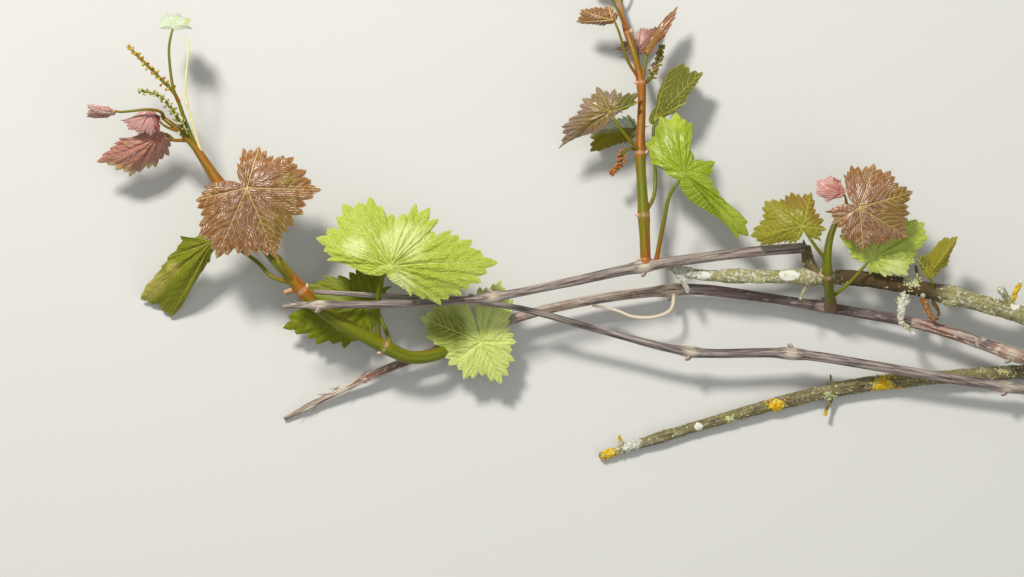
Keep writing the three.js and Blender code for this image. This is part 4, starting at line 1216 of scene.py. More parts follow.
def blade_edge(spec):
    """The longest vein of a blade, and its edge, column by column: its vector from the joint, its length
    without the teeth, how far it lies between two turns of the outline, and the column of each turn."""
    ways = [from_joint(spec, entry) for entry in spec["fan"]]
    longest = max(np.linalg.norm(way) for way in ways)
    outline = Path(ways)
    pitch = sizes().tooth_pitch * longest
    rows, lengths, betweens, entries = [], [], [], []
    for i in range(len(ways) - 1):
        start, end = outline.marks[i * PIECES_OF_CURVE], outline.marks[(i + 1) * PIECES_OF_CURVE]
        teeth = max(1, round((end - start) / pitch))
        count = teeth * max(TOOTH_COLUMNS, round((end - start) / teeth / sizes().column_step))
        u = np.arange(count) / count
        row = outline.at((start + (end - start) * u) / outline.length)
        between = np.sin(math.pi * u) ** 2
        whole = np.linalg.norm(row, axis=1)
        lobed = whole * (1 - LOBING * between * math.degrees(angle(ways[i], ways[i + 1])) / LOBE_ANGLE)
        depth = sizes().tooth_depth * min(pitch, (end - start) / teeth) * notch(u * teeth, BLUNTNESS)
        depth += sizes().fine_tooth * pitch * notch(u * teeth * FINE_TEETH, FINE_BLUNTNESS)
        depth *= spec.get("teeth", 1)
        entries.append(sum(map(len, rows)))
        rows.append(row * ((lobed - depth) / whole)[:, None])
        lengths.append(lobed)
        betweens.append(between)
    entries.append(sum(map(len, rows)))
    behind = (spec["fan"][0][0] + spec["fan"][-1][0]) / 2 + 180
    back = from_joint(spec, [behind, SINUS_REACH * max(entry[1] for entry in spec["fan"]), 0])
    last, first = sinus(ways[-1], back, pitch), sinus(ways[0], back, pitch)[::-1]
    rows += [last, first[1:-1]]
    straight = np.linalg.norm(np.vstack(rows[-2:]), axis=1)
    lengths.append(straight)
    betweens.append(np.zeros(len(straight)))
    return longest, np.vstack(rows), np.concatenate(lengths), np.concatenate(betweens), entries


def notch(u, bluntness):
    """How deep the edge lies between two teeth: 0 at a blunt tip and 1 at a sharp notch."""
    return (1 - np.abs(2 * (u % 1) - 1)) ** bluntness


def sinus(tip, back, pitch):
    """The edge of the hollow round the stalk, from a lobe's tip to the point behind the joint. The narrower
    the hollow, the rounder its sides."""
    gap = angle(tip, back)
    outer, inner = np.linalg.norm(tip), np.linalg.norm(back)
    columns = max(TOOTH_COLUMNS, round((outer - inner + 0.4 * gap * outer) / sizes().column_step))
    share = np.linspace(0, 1, columns)[:, None]
    turn = gap * share ** np.interp(math.degrees(gap), *HOLLOW_SHAPES)
    way = (np.sin(gap - turn) * tip / outer + np.sin(turn) * back / inner) / math.sin(gap)
    toothed = sizes().tooth_depth * pitch * notch(share * outer / pitch, BLUNTNESS)
    return way * (outer + (inner - outer) * share - toothed * np.clip(1 - 1.6 * share, 0, 1))


def blade_face(spec):
    """The direction that a blade faces."""
    ways = [from_joint(spec, entry) for entry in spec["fan"]]
    return unit(sum(np.cross(a, b) for a, b in zip(ways, ways[1:])))


def ripple(x, y, step):
    """A smooth uneven field from -1 to 1, about step from crest to crest."""
    waves = ((1.0, 0.31, 0.4), (-0.42, 0.93, 1.7), (0.68, -0.77, 2.9), (0.21, 1.21, 4.4))
    return sum(np.sin((a * x + b * y) * 2 * math.pi / step + c) for a, b, c in waves) / len(waves)


def vein_field(way, share, turn, mains):
    """Where each point of a blade lies by its nearest main vein: how far along it, how far off it, and on
    which side of it."""
    away = turn[:, None] - turn[mains][None, :]
    nearest = np.argmin(np.abs(away), axis=1)
    off = away[np.arange(len(turn)), nearest]
    reach = np.linalg.norm(way, axis=1)
    aside = np.minimum(np.abs(off), math.radians(WIDEST_SIDE))
    return share * reach * np.cos(aside), share * reach * np.sin(aside), off > 0


def blade_mesh(name, spec):
    """A blade with its veins let in, its skin swollen between them, a wavy toothed edge and a real thickness.
    Also the length of its longest vein and the points of its underside."""
    longest, way, smooth, between, entries = blade_edge(spec)
    steps = [0.0] + [angle(a, b) for a, b in zip(way, way[1:])]
    turn = np.cumsum(steps)
    rings = int(np.clip(longest / (1.2 * sizes().column_step), *BLADE_RINGS))
    share = (np.arange(1, rings + 1) / rings)[:, None]
    face = blade_face(spec)
    joint = seen(spec["stalk"][-1])
    along, across, left = vein_field(way, share, turn, [entries[i] for i in spec["mains"]])

    spacing = side_vein_step(longest)
    flat = way * share[..., None]
    uneven = ripple(flat[..., 0], flat[..., 1], 0.3 * longest)
    along_side = along - VEIN_LEAN * across - VEIN_BEND * across**2 / longest
    phase = along_side / spacing + VEIN_WANDER * uneven + 0.5 * left
    swell = 4 * share * (1 - share) * (spec["arch"] + BLISTER * between) * smooth
    rungs = np.abs(np.sin(math.pi * across / (0.55 * spacing) + 1.5 * uneven))
    puff = np.abs(np.sin(math.pi * phase)) ** 0.8 * (0.45 + 0.55 * rungs)
    puff *= np.clip(across / (0.3 * spacing), 0, 1)
    inside = 1 - share**6
    relief = puff * inside * sizes().blister * spec["relief"]
    relief -= sizes().groove * np.exp(-((across / GROOVE_WIDTH) ** 2)) * (1 - share)
    crimp = np.sin(turn * 9 + len(name)) + 0.6 * np.sin(turn * 17 + 2)
    wave = EDGE_WAVE * longest * share**3 * crimp * inside.clip(0.35, 1)
    middle = joint + flat + face * (swell + relief + wave)[..., None]
    half = sizes().blade_thickness / 2 * (1 - share**8)[..., None] * face
    ribs = RIB_DEPTH * sizes().groove * np.exp(-((across / RIB_WIDTH) ** 2)) * (1 - share)
    top = middle + half
    under = middle - half - face * ribs[..., None]

    n = len(way)
    points = [joint + face * sizes().blade_thickness / 2, *top.reshape(-1, 3)]
    low_joint = len(points)
    points += [joint - face * sizes().blade_thickness, *under[:-1].reshape(-1, 3)]

    def at(ring, column, below):
        column %= n
        if not below or ring == rings - 1:
            return 1 + ring * n + column
        return low_joint + 1 + ring * n + column

    faces = []
    for below, centre in ((False, 0), (True, low_joint)):
        fans = [(centre, at(0, i, below), at(0, i + 1, below)) for i in range(n)]
        quads = [
            (at(j, i, below), at(j + 1, i, below), at(j + 1, i + 1, below), at(j, i + 1, below))
            for j in range(rings - 1) for i in range(n)
        ]
        faces += [corners[::-1] for corners in fans + quads] if below else fans + quads
    mesh = bpy.data.meshes.new(name)
    mesh.from_pydata([tuple(p) for p in points], [], faces)

    flush = np.zeros_like(along)
    for bearing, out, size in spec["flushes"]:
        centre = joint + from_joint(spec, (bearing, out, 0))
        flush += np.exp(-((np.linalg.norm((middle - centre)[..., :2], axis=2) / (size * MM)) ** 2))
    shares = np.broadcast_to(share, along.shape)
    place = np.stack((phase, across, along), axis=-1)

    def zone(back):
        return np.stack((shares, flush, np.full_like(along, back)), axis=-1)

    places = np.vstack(((0, 0, 0), *place, (0, 0, 0), *place[:-1]))
    write(mesh, "vein_place", "FLOAT_VECTOR", places)
    zones = np.vstack(((0, 0, 0), *zone(0.0), (0, 0, 1), *zone(1.0)[:-1]))
    write(mesh, "leaf_zone", "FLOAT_VECTOR", zones)
    mesh.shade_smooth()
    ends = np.empty(len(mesh.edges) * 2, np.int32)
    mesh.edges.foreach_get("vertices", ends)
    rim = ((ends > (rings - 1) * n) & (ends <= rings * n)).reshape(-1, 2).all(axis=1)
    mesh.attributes.new("sharp_edge", "BOOLEAN", "EDGE").data.foreach_set("value", rim)
    return mesh, longest, under.reshape(-1, 3)


def side_vein_step(longest):
    """The distance between the side veins of a blade."""
    return max(LEAST_VEIN_STEP, longest / SIDE_VEINS)


# The finish of each kind of leaf: roughness, how strong its fine net is, the colour and strength of its
# painted glints, and its coat
FINISHES = {
    "green_leaf": ((0.35, 0.6), 0.2, "glint_green", 0.5, 0.2),
    "olive_leaf": ((0.5, 0.8), 0.06, "vein_pale", 0.1, 0.04),
    "pale_leaf": ((0.4, 0.7), 0.12, "glint", 0.1, 0.1),
    "bronze_leaf": ((0.28, 0.5), 0.1, "glint", 1.0, 0.5),
    "pink_leaf": ((0.3, 0.55), 0.08, "glint", 0.6, 0.4),
}

# The height of a blade's finest relief and of its blisters in the material, and the length of leaf whose
# painted glints show at full strength
SKIN_BUMP = 0.0001
BLISTER_BUMP = 0.00045
GROWN_LEAF = 0.03


def leaf_material(name, spec, longest):
    """The material of one leaf's blade, in its own colours and with veins as fine as it needs."""
    inner, outer, vein, flush = spec["tints"]
    gloss, net, glint, gleam, coat = FINISHES[spec["slot"]]
    return new_material(
        name + "_skin", gloss, BLISTER_BUMP * spec["relief"] + SKIN_BUMP, leaf_blade, coat,
        Inner=inner, Outer=outer, Vein=vein, Flush=flush, Glint=glint, Spacing=side_vein_step(longest),
        Length=longest, Net=net, Gleam=spec.get("gleam", gleam) * min(1, longest / GROWN_LEAF),
    )


# A stalk's step between rings, which is also how far round a ring the blade counts as over it, how far its
# flare at the foot reaches, and how many times its line is evened out once it lies below its blade
STALK_STEP = 0.0012
FLARE_REACH = 0.004
SOFTENINGS = 3


def stalk_strand(spec, under):
    """The stalk of a leaf, from inside its carrier to a little way along a vein, always below its blade."""
    points = stem_path(spec, spec["stalk"])
    ways = [from_joint(spec, entry) for entry in spec["fan"]]
    points.append(points[-1] + ways[len(ways) // 2] * STALK_UNDER)
    path = Path(points)
    thick = spec["thick"] * MM

    def radius_of(shares):
        flare = 0.35 * thick * np.exp(-((shares * path.length / FLARE_REACH) ** 2))
        end = np.clip((1 - shares) * path.length / (4 * thick), 0.25, 1)
        return (thick * (1 - STALK_TAPER * shares) + flare) * end

    red = spec.get("red", 0.05)
    tone_of = tones([[0, 0, 0, red], [0.5, 0, 0, 0.3 * red], [1, 0, 0, 0.2 * red]])
    places, radius, tone = strand(path, radius_of, tone_of, STALK_STEP, (0, STALK_STEP))
    face = blade_face(spec)
    for i, place in enumerate(places):
        flat = np.linalg.norm(np.cross(under - place, face), axis=1)
        near = under[flat < STALK_STEP]
        if len(near):
            room = np.min((near - place) @ face) - radius[i] * 0.7
            places[i] = place + face * min(0.0, room)
    for _ in range(SOFTENINGS):
        places[1:-1] = (places[:-2] + places[1:-1] * 2 + places[2:]) / 4
    return places, radius, tone


# The skin of a green stem, for the limbs grown along its lines
SMOOTH = {"Ridge Height": 0.00012, "Ridge Size": 0.0011, "Ridge Draw": 0.02, "Lump Height": 0.00008}


def stem_material(name, green, red, sunned):
    return new_material(name, (0.35, 0.6), 0.0002, green_skin, 0.12, Green=green, Red=red, Sunned=sunned)


class VINE_OT_leaves(bpy.types.Operator):
    """Make the blades of all leaves, each from its own fan of veins, and their stalks"""

    bl_idname = "vine.leaves"
    bl_label = "Leaves"

    def execute(self, context):
        strands = []
        for name, spec in LEAVES.items():
            mesh, longest, under = blade_mesh(name + "_blade", spec)
            mesh.materials.append(leaf_material(name, spec, longest))
            hand_over(new_object(name + "_blade", mesh), [name])
            strands.append(stalk_strand(spec, under))
        material = stem_material("stalk_skin", "stem_green", "stem_red", 0.25)
        stalks = limb_object("leaf_stalks", strands, material, 12, **SMOOTH)
        hand_over(stalks, list(LEAVES))
        return {"FINISHED"}


# Wood

# Lichen on the old wood: [x, y, half its length along x, half its length along y] in the layout
WHITE_CRUST = [[166.2, 7.8, 6, 3.4], [115, 7.8, 4.4, 2.8], [112, -82.8, 2.6, 2.4], [302, -10.6, 3, 2.4],
               [305.6, 5, 2, 2.2], [241, -27, 2, 2], [246.5, -4, 1.6, 1.2]]
YELLOW_CRUST = [[57.5, -99, 3.5, 3.5], [64.6, -89.5, 2.8, 3.6], [159, -70, 4.5, 3], [222.5, -58, 5.6, 4.4],
                [301, -3, 2, 3.4], [303.4, 0.5, 2, 2], [187.6, -76, 2.6, 2.6]]
PALE_CRUST = [[93, 11, 5, 2.5], [131.5, -78.5, 2.5, 2], [240, 4, 4, 3.4], [188, 4, 3, 2], [147, 4.5, 4, 1.5],
              [262, -9, 4, 2], [284, -16, 4, 2], [190, -64, 3, 2], [296, -49, 4, 2]]
GREY_CRUST = [[103.5, 6, 6, 9], [71, -92, 6, 5], [291, -1, 4, 5], [235, -13, 4, 8], [104, 2, 4, 4]]

# The tones of the old wood: [share of the length, paleness, how brown it is, how torn it is]. The dark brown,
# with a paleness below 0, is painted shade over the brown bark of the old arm's shaded stretch.
OLD_WOOD_TONES = {
    "old_arm": tones([[0, 0.4, 0.2, 0], [0.3, 0.6, 0, 0], [0.5, 0.6, 0, 0], [0.54, -0.2, 1, 0],
                      [0.69, -0.2, 1, 0], [0.71, 0.9, 0, 0], [1, 1.1, 0, 0]]),
    "lower_branch": tones([[0, 0.2, 0.2, 0], [0.3, 0.3, 0.3, 0], [0.6, 0.2, 0.4, 0], [0.9, 0.4, 0.4, 0],
                           [1, 1.2, 0, 0]]),
}


def in_layout(points):
    """Points of the branch as places in the layout."""
    return (points[:, :2] / MM + MIDDLE) / shrink_at(points[:, 2] / MM)[:, None]


def cover_of(mesh, patches, strewn=0.0):
    """How thickly the patches, and lobes strewn between them, cover each point but those underneath."""
    places = in_layout(points_of(mesh))
    away = [((places - (x, y)) / (wide, high)) ** 2 for x, y, wide, high in patches]
    cover = sum(np.exp(-0.7 * off.sum(axis=1) ** 1.5) for off in away)
    normals = np.empty(len(places) * 3, np.float32)
    mesh.vertices.foreach_get("normal", normals)
    upward = np.clip(normals.reshape(-1, 3)[:, 2] * 0.8 + 0.7, 0, 1)
    return np.clip(cover + strewn, 0, 1) * upward


def lichen(wood, patches, tints, lobe, seed, strewn=0.0):
    """A crust of small lobes on the wood, some of them strewn all over it. lobe gives their size, flatness
    and tilt."""
    name = f"{wood}_{tints[1]}"
    source = bpy.data.objects[wood + "_bark"].data.copy()
    write(source, "cover", "FLOAT", cover_of(source, patches, strewn) ** 1.5)
    first, second = tints
    material = new_material(
        name + "_skin", (0.7, 0.95), 0.0003, grainy_skin, First=first, Second=second, Patch=500.0
    )
    size, flatness, tilt = lobe
    inputs = {
        "Density": 1.5e6 / size, "Radius": sizes().flake * size, "Flatness": flatness, "Unevenness": 1.0,
        "Tilt": tilt, "Seed": seed, "Material": material,
    }
    hand_over(grown(name, source, scattered_grains, inputs), [wood])


def sawn_end(mesh):
    """Gives the largest flat end of a limb the look of cut wood."""
    wood = new_material("cut_end", (0.6, 0.9), 0.0003, sawn_wood, Early="cut_wood", Late="wood_brown_and_shade")
    mesh.materials.append(wood)
    face = max((face for face in mesh.polygons if len(face.vertices) > 4), key=lambda face: face.area)
    face.material_index = 1
    face.use_smooth = False


def stub_strand(places, wide, narrow, tone):
    """A stub or lump with blunt ends."""
    points = [seen(place) for place in places]
    return tapered(points, wide * MM, narrow * MM, tone, 0.0008, (0.001, 0.001))


# The radius of a splinter at its foot, and the share of it at its tip
SPLINTER = 0.00055
SPLINTER_TIP = 0.2


def splinter_strands(name, reach, count, long, seed, tone):
    """Torn fibres that stand off a limb's skin, between two shares of its length."""
    chance = np.random.default_rng(seed)
    path, radius_of = limb_path(name), limb_radius(name)
    for share in chance.uniform(*reach, count):
        foot, ahead = path.at([share, share + 0.01])
        forward = unit(ahead - foot) * chance.choice((-1, 1))
        side = unit(np.cross(forward, (0, 0, chance.choice((-1, 1)))) + (0, 0, chance.uniform(0, 1)))
        skin, far = radius_of(np.array([share]))[0], long * chance.uniform(0.5, 1)
        places = [
            foot + side * skin * 0.8,
            foot + side * skin * 0.95 + forward * far * 0.5,
            foot + side * (skin * 0.95 + far * 0.2) + forward * far,
        ]
        yield tapered(places, SPLINTER, SPLINTER * SPLINTER_TIP, tone, 0.0006, (0, 0.0002))


class VINE_OT_old_wood(bpy.types.Operator):
    """Make the old arm with its stubs and the lower branch, with rough bark and lichen"""

    bl_idname = "vine.old_wood"
    bl_label = "Old wood"

    def execute(self, context):
        material = new_material(
            "old_bark", (0.7, 0.95), 0.0008, crusted_bark, Dark="wood_dark", Light="wood_light", Film="film",
            White="crust_white", Yellow="lichen_pale", Brown="wood_brown_and_shade", Torn="spur_orange",
        )
        rough = {
            "Ridge Height": sizes().bark_ridge, "Ridge Size": 0.0014, "Ridge Draw": 0.12,
            "Lump Height": 0.0012, "Lump Size": 0.006,
        }
        for name, tone_of in OLD_WOOD_TONES.items():
            strands = [strand(limb_path(name), limb_radius(name), tone_of, sizes().ring_step, (0, 0.002))]
            strands += splinter_strands(name, (0.1, 0.32), 16, 0.006, 7, (1.2, 0, 0))
            strands += splinter_strands(name, (0.4, 0.95), 14, 0.004, 8, (0.6, 0.2, 0))
            strands += [stub_strand(*stub) for stub in STUBS[name]]
            wood = limb_object(name + "_bark", strands, material, 48, **rough)
            if name == "old_arm":
                sawn_end(wood.data)
            crust = [cover_of(wood.data, patches) for patches in (WHITE_CRUST, YELLOW_CRUST, GREY_CRUST)]
            write(wood.data, "crust", "FLOAT_VECTOR", np.stack(crust, axis=1))
            hand_over(wood, [name])
            lichen(name, YELLOW_CRUST, ("lichen_orange", "lichen_yellow"), (1, 0.5, 0.4), 3)
            lichen(name, PALE_CRUST, ("lichen_pale", "lichen_grey"), (0.7, 0.6, 0.5), 4, 0.05)
            lichen(name, GREY_CRUST, ("lichen_grey", "crust_white"), (1.25, 0.4, 0.7), 5)
        return {"FINISHED"}


# The tones of the canes: [share of the length, paleness, peeling, warmth]. A paleness below 0 is painted
# shade.
CANE_TONES = {
    "upper_cane": [[0, 0, 0.15, 0.2], [0.3, 0.1, 0, 0.1], [0.9, 0, 0, 0.1], [1, 0.4, 0.4, 0.2]],
    "middle_cane": [[0, 0, 0.2, 1], [0.2, 0, 0.35, 1], [0.285, 0, 0.3, 1], [0.3, -0.8, 0, 0.3],
                    [0.44, -0.7, 0, 0.4], [0.5, 0, 0, 0.4], [0.56, 0.4, 0.3, 0.5], [0.74, 0.3, 0.2, 0.5],
                    [0.86, -0.3, 0, 1], [0.91, 0, 0.5, 0.9], [0.93, 0.3, 1, 0.5], [1, 0.3, 1, 0.4]],
    "lower_cane": [[0, 0.1, 0.3, 0.3], [0.15, 0, 0.1, 0.1], [0.7, 0, 0, 0], [1, 0.1, 0.1, 0.1]],
}


# How far the paleness and redness of a node reach along its limb, and how far its scar does
NODE_REACH = 0.0045
SCAR_REACH = 0.0009


def bud_strands(name, size, tone):
    """A bud at each knot of a limb, on alternate sides, leaning from the limb's skin towards its tip."""
    path, radius_of = limb_path(name), limb_radius(name)
    for i, (share, _) in enumerate(LIMBS[name]["knots"]):
        foot, ahead = path.at([share, min(1, share + 0.01)])
        forward = unit(ahead - foot)
        side = unit(np.cross(forward, (0, 0, 1 if i % 2 else -1)) + (0, 0, 0.3))
        skin = radius_of(np.array([share]))[0]
        places = [
            foot + side * skin * 0.4,
            foot + side * (skin + 0.2 * size) + forward * 0.25 * size,
            foot + side * (skin + 0.5 * size) + forward * 0.8 * size,
        ]

        def plump(shares):
            return 0.6 * size * (1 - 0.75 * shares**2)

        yield strand(Path(places), plump, tones([[0, *tone]]), 0.0004, (0, 0.0004))


class VINE_OT_canes(bpy.types.Operator):
    """Make the three canes of last year's wood, with fibrous bark, pale nodes and buds"""

    bl_idname = "vine.canes"
    bl_label = "Canes"

    def execute(self, context):
        material = new_material(
            "cane_bark", (0.5, 0.8), 0.0003, fibrous_bark, Dark="cane_dark", Light="cane_light",
            Pale="cane_pale", Warm="cane_warm",
        )
        fibrous = {
            "Ridge Height": sizes().cane_ridge, "Ridge Size": 0.0009, "Ridge Draw": 0.03,
            "Lump Height": 0.0003, "Lump Size": 0.004, "Wear": 4.5,
        }
        for name, rows in CANE_TONES.items():
            tone_of = tones(rows)

            def with_nodes(shares):
                return tone_of(shares) + at_knots(name, shares, NODE_REACH)[:, None] * (0.9, 0, 0)

            line = strand(limb_path(name), limb_radius(name), with_nodes, sizes().ring_step, (0.001, 0.001))
            strands = [line, *bud_strands(name, 0.0034, (0.3, 0, 0.6))]
            if name == "middle_cane":
                strands += splinter_strands(name, (0.9, 0.985), 10, 0.011, 3, (0.2, 1, 0.4))
            if name == "upper_cane":
                strands += splinter_strands(name, (0.95, 0.985), 5, 0.009, 4, (0.4, 0.4, 0.2))
            cane = limb_object(name + "_bark", strands, material, 40, **fibrous)
            hand_over(cane, [name])
        return {"FINISHED"}


# Green shoots

# How high the collar at the foot of each shoot is, how wide it is beside the shoot, and the share of that
# width at its top
COLLAR_HEIGHTS = {"left_shoot": 0.0075, "middle_shoot": 0.0075, "right_shoot": 0.014}
COLLAR_GIRTH = 1.3
COLLAR_TOP = 0.78


def collar_strand(name):
    """The swollen foot that a shoot grows out of its cane on."""
    path = limb_path(name)
    places = path.at(np.array([0.0, 0.5, 1.0]) * COLLAR_HEIGHTS[name] / path.length)
    wide = COLLAR_GIRTH * LIMBS[name]["radius"][0] * MM
    return tapered(places, wide, COLLAR_TOP * wide, (0.1, 0, 1.1), 0.0006, (0.0022, 0.004))


# How red each shoot is on the side that the sun reaches, the colour of that flush, and the tones along the
# shoot: [share of the length, paleness, 0, flush]
SHOOT_TONES = {
    "left_shoot": (0.45, "stem_red", [
        [0, 0, 0, -0.4], [0.15, 0, 0, -0.2], [0.38, 0, 0, -0.1], [0.43, 0, 0, 0.35], [0.47, 0, 0, 0.3],
        [0.52, 0, 0, -0.1], [0.68, 0, 0, 0.3], [1, 0, 0, 0.3],
    ]),
    "middle_shoot": (0.4, "stem_red", [
        [0, 0, 0, 0.9], [0.05, 0, 0, 0.35], [0.16, 0, 0, 0.05], [0.36, 0, 0, 0.1], [0.4, 0, 0, 0.55],
        [0.6, 0, 0, 0.6], [0.7, 0, 0, 0.25], [0.8, 0, 0, 0.4], [1, 0.5, 0, 0.5],
    ]),
    "right_shoot": (0.2, "wood_brown_and_shade", [
        [0, 0, 0, 1], [0.14, 0, 0, 0.5], [0.22, 0, 0, 0], [0.42, 0, 0, 0.5], [0.5, 0, 0, 0.1], [1, 0, 0, 0.4],
    ]),
}


class VINE_OT_shoots(bpy.types.Operator):
    """Make the three green shoots, flushed red at their nodes"""

    bl_idname = "vine.shoots"
    bl_label = "Shoots"

    def execute(self, context):
        for name, (sunned, flushed, rows) in SHOOT_TONES.items():
            tone_of = tones(rows)

            def with_nodes(shares):
                scars, flush = at_knots(name, shares, SCAR_REACH), at_knots(name, shares, NODE_REACH)
                return tone_of(shares) + scars[:, None] * (0.5, 0, 0) + flush[:, None] * (0, 0, 0.25)

            material = stem_material(name + "_skin", "stem_green", flushed, sunned)
            line = strand(limb_path(name), limb_radius(name), with_nodes, sizes().ring_step, (0, 0.001))
            buds = bud_strands(name, 0.0024, (0.9, 0, 0.3))
            stubs = [stub_strand(*stub) for stub in STUBS[name]]
            strands = [line, collar_strand(name), *buds, *stubs]
            shoot = limb_object(name + "_skin", strands, material, 28, **SMOOTH)
            hand_over(shoot, [name])
        return {"FINISHED"}


# How far a knot of a thin stem reaches along it, and the radius of the stalks that the flower buds stand on
SLIP_KNOT_REACH = 0.0016
BUD_STALK = 0.0003


def slip_strand(spec):
    """A thin stem, from inside its carrier to its tip."""
    path = Path(stem_path(spec, spec["places"]))
    wide, narrow = spec["radius"]

    def radius_of(shares):
        away = [(shares - at) * path.length / SLIP_KNOT_REACH for at, _ in spec.get("knots", [])]
        knots = [extra * np.exp(-(off**2)) for off, (_, extra) in zip(away, spec.get("knots", []))]
        return (wide + (narrow - wide) * shares + sum(knots)) * MM

    return strand(path, radius_of, PLAIN, 0.001, (0, 0.0006))


class VINE_OT_tendrils(bpy.types.Operator):
    """Make the dry tendril on the middle cane and the green one on the left shoot"""

    bl_idname = "vine.tendrils"
    bl_label = "Tendrils"

    def execute(self, context):
        tints = {"cane_tendril": ("dry", "cane_light"), "left_tendril": ("bud_pale", "stem_pale")}
        for name, spec in TENDRILS.items():
            material = stem_material(name + "_skin", *tints[name], 0.2)
            tendril = limb_object(name + "_skin", [slip_strand(spec)], material, 14, **SMOOTH)
            hand_over(tendril, [name])
        return {"FINISHED"}


def bud_spray(spec, seed):
    """The buds of a cluster as [middle, radius], in threes round its stem, and their stalks as strands."""
    chance = np.random.default_rng(seed)
    path = path_in_layout(spec["places"])
    buds, stalks = [], []
    foot, tip = BUD_STAND
    shares = np.linspace(spec["first"], 1, 2 * spec["buds"])
    for i, share in enumerate(shares):
        behind, here = path.at([share - 0.01, share])
        forward = unit(here - behind)
        across = unit(np.cross(forward, (0, 0, 1)))
        over = np.cross(across, forward)
        stand = (foot + (tip - foot) * i / len(shares)) * MM * chance.uniform(0.55, 1)
        outward = across * math.cos(i * BUD_TURN) + over * math.sin(i * BUD_TURN) + 0.4 * forward
        knot = here + outward * stand
        stalks.append(tapered([here, knot], BUD_STALK, BUD_STALK, (0, 0, 0), 0.0006))
        for _ in range(3):
            turn, size = chance.uniform(0, 2 * math.pi), sizes().bud * chance.uniform(0.8, 1.15)
            aside = across * math.cos(turn) + over * math.sin(turn) + forward * chance.uniform(-0.4, 0.8)
            buds.append((knot + 0.9 * size * aside, size))
    return buds, stalks


class VINE_OT_clusters(bpy.types.Operator):
    """Make the flower clusters in bud: a stem, and small buds crowded on its side branches"""

    bl_idname = "vine.clusters"
    bl_label = "Flower clusters"

    def execute(self, context):
        strands = []
        for seed, (name, spec) in enumerate(CLUSTERS.items()):
            buds, stalks = bud_spray(spec, seed)
            strands += [slip_strand(spec), *stalks]
            source = bpy.data.meshes.new(name + "_spots")
            source.from_pydata([tuple(middle) for middle, _ in buds], [], [])
            write(source, "girth", "FLOAT", [size for _, size in buds])
            first, second = spec["tints"]
            material = new_material(
                name + "_skin", (0.4, 0.7), 0.0002, grainy_skin, First=first, Second=second, Patch=420.0
            )
            beads = grown(name + "_buds", source, bead_spray, {"Material": material})
            hand_over(beads, [name])
        material = stem_material("cluster_stem_skin", "stem_green", "stem_red", 0.5)
        stems = limb_object("cluster_stems", strands, material, 12, **SMOOTH)
        hand_over(stems, list(CLUSTERS))
        return {"FINISHED"}


# The stage

FLOOR_SIZE = 8.0
BRANCH_HEIGHT = 0.03

# The camera's sensor, and the picture's width in pixels and in millimetres of the layout for each pixel
SENSOR = 0.036
PICTURE_WIDTH = 1024
PIXEL = 0.6


def area_light(name, place, size, power, tint=(1, 1, 1)):
    """A soft square light aimed at the middle of the branch."""
    data = bpy.data.lights.new(name, "AREA")
    data.size = size
    data.energy = power
    data.color = tint
    lamp = new_object(name, data)
    lamp.location = place
    aim = Vector((*camera_place()[:2], BRANCH_HEIGHT)) - lamp.location
    lamp.rotation_euler = aim.to_track_quat("-Z", "Y").to_euler()


def camera_place():
    """The eye that the layout is drawn for, in metres."""
    return (-MIDDLE[0] * MM, -MIDDLE[1] * MM, (EYE_HEIGHT + LAYOUT_HEIGHT) * MM)


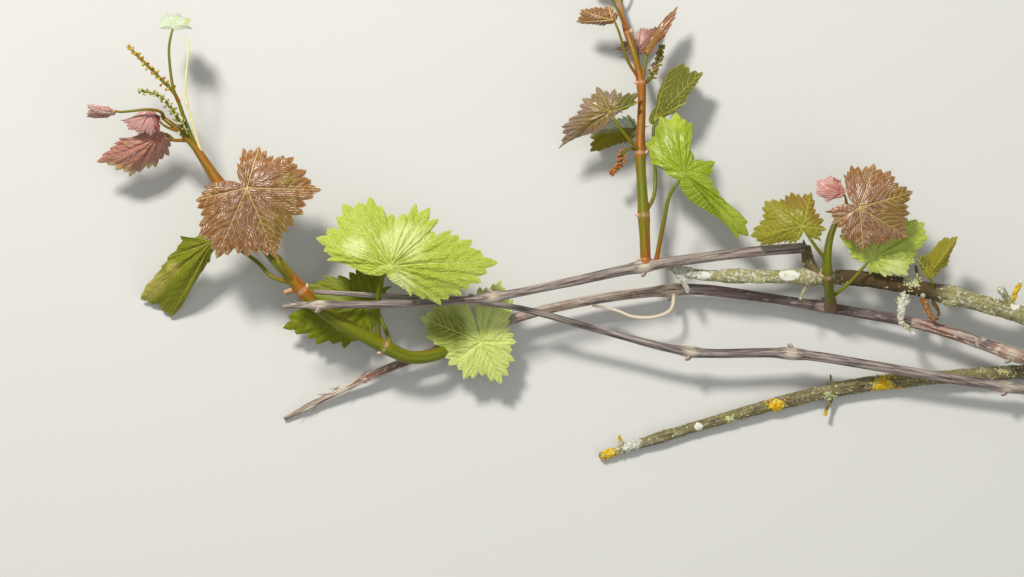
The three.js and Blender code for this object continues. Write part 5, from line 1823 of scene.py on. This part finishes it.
class VINE_OT_stage(bpy.types.Operator):
    """Make the pale floor, the soft studio lights and the camera that looks straight down"""

    bl_idname = "vine.stage"
    bl_label = "Stage"

    def execute(self, context):
        mesh = bpy.data.meshes.new("floor")
        side = FLOOR_SIZE / 2
        corners = [(-side, -side, 0), (side, -side, 0), (side, side, 0), (-side, side, 0)]
        mesh.from_pydata(corners, [], [(0, 1, 2, 3)])
        material = bpy.data.materials.new("floor_paper")
        material.use_nodes = True
        shader = material.node_tree.nodes["Principled BSDF"]
        shader.inputs["Base Color"].default_value = (0.62, 0.62, 0.6, 1)
        shader.inputs["Roughness"].default_value = 0.9
        mesh.materials.append(material)
        floor = new_object("floor", mesh)

        area_light("key_light", (-0.7, 1.1, 1.6), 0.3, 42, (1, 0.97, 0.9))
        area_light("fill_light", (1.2, -0.9, 1.4), 1.4, 6, (0.92, 0.96, 1))
        area_light("top_light", (0.1, 0.1, 2.4), 1.6, 8)

        world = bpy.data.worlds.new("studio")
        world.use_nodes = True
        world.node_tree.nodes["Background"].inputs["Color"].default_value = (1, 1, 0.97, 1)
        world.node_tree.nodes["Background"].inputs["Strength"].default_value = 0.3
        context.scene.world = world
        context.scene.view_settings.view_transform = "Standard"

        data = bpy.data.cameras.new("camera")
        data.sensor_width = SENSOR / MM
        data.lens = SENSOR / MM * EYE_HEIGHT / (PICTURE_WIDTH * PIXEL)
        camera = new_object("camera", data)
        camera.location = camera_place()
        context.scene.camera = camera
        return {"FINISHED"}


class VINE_PT_branch(bpy.types.Panel):
    """The pieces of the branch, in the order they are made"""

    bl_idname = "VINE_PT_branch"
    bl_label = "Grapevine Branch"
    bl_space_type = "VIEW_3D"
    bl_region_type = "UI"
    bl_category = "Vine"

    def draw(self, context):
        for operator in OPERATORS:
            self.layout.operator(operator.bl_idname)
        for group in (context.scene.vine_sizes, context.scene.vine_colours):
            column = self.layout.column(align=True)
            for name in group.__annotations__:
                column.prop(group, name)


OPERATORS = (
    VINE_OT_old_wood, VINE_OT_canes, VINE_OT_shoots, VINE_OT_leaves, VINE_OT_tendrils, VINE_OT_clusters,
    VINE_OT_stage,
)
CLASSES = (VineColours, VineSizes, *OPERATORS, VINE_PT_branch)


def register():
    for made in CLASSES:
        bpy.utils.register_class(made)
    bpy.types.Scene.vine_colours = bpy.props.PointerProperty(type=VineColours)
    bpy.types.Scene.vine_sizes = bpy.props.PointerProperty(type=VineSizes)


def unregister():
    del bpy.types.Scene.vine_colours
    del bpy.types.Scene.vine_sizes
    for made in reversed(CLASSES):
        bpy.utils.unregister_class(made)


def main():
    register()
    for operator in OPERATORS:
        getattr(bpy.ops.vine, operator.bl_idname.removeprefix("vine."))()
    bpy.context.view_layer.update()


if __name__ == "__main__":
    main()
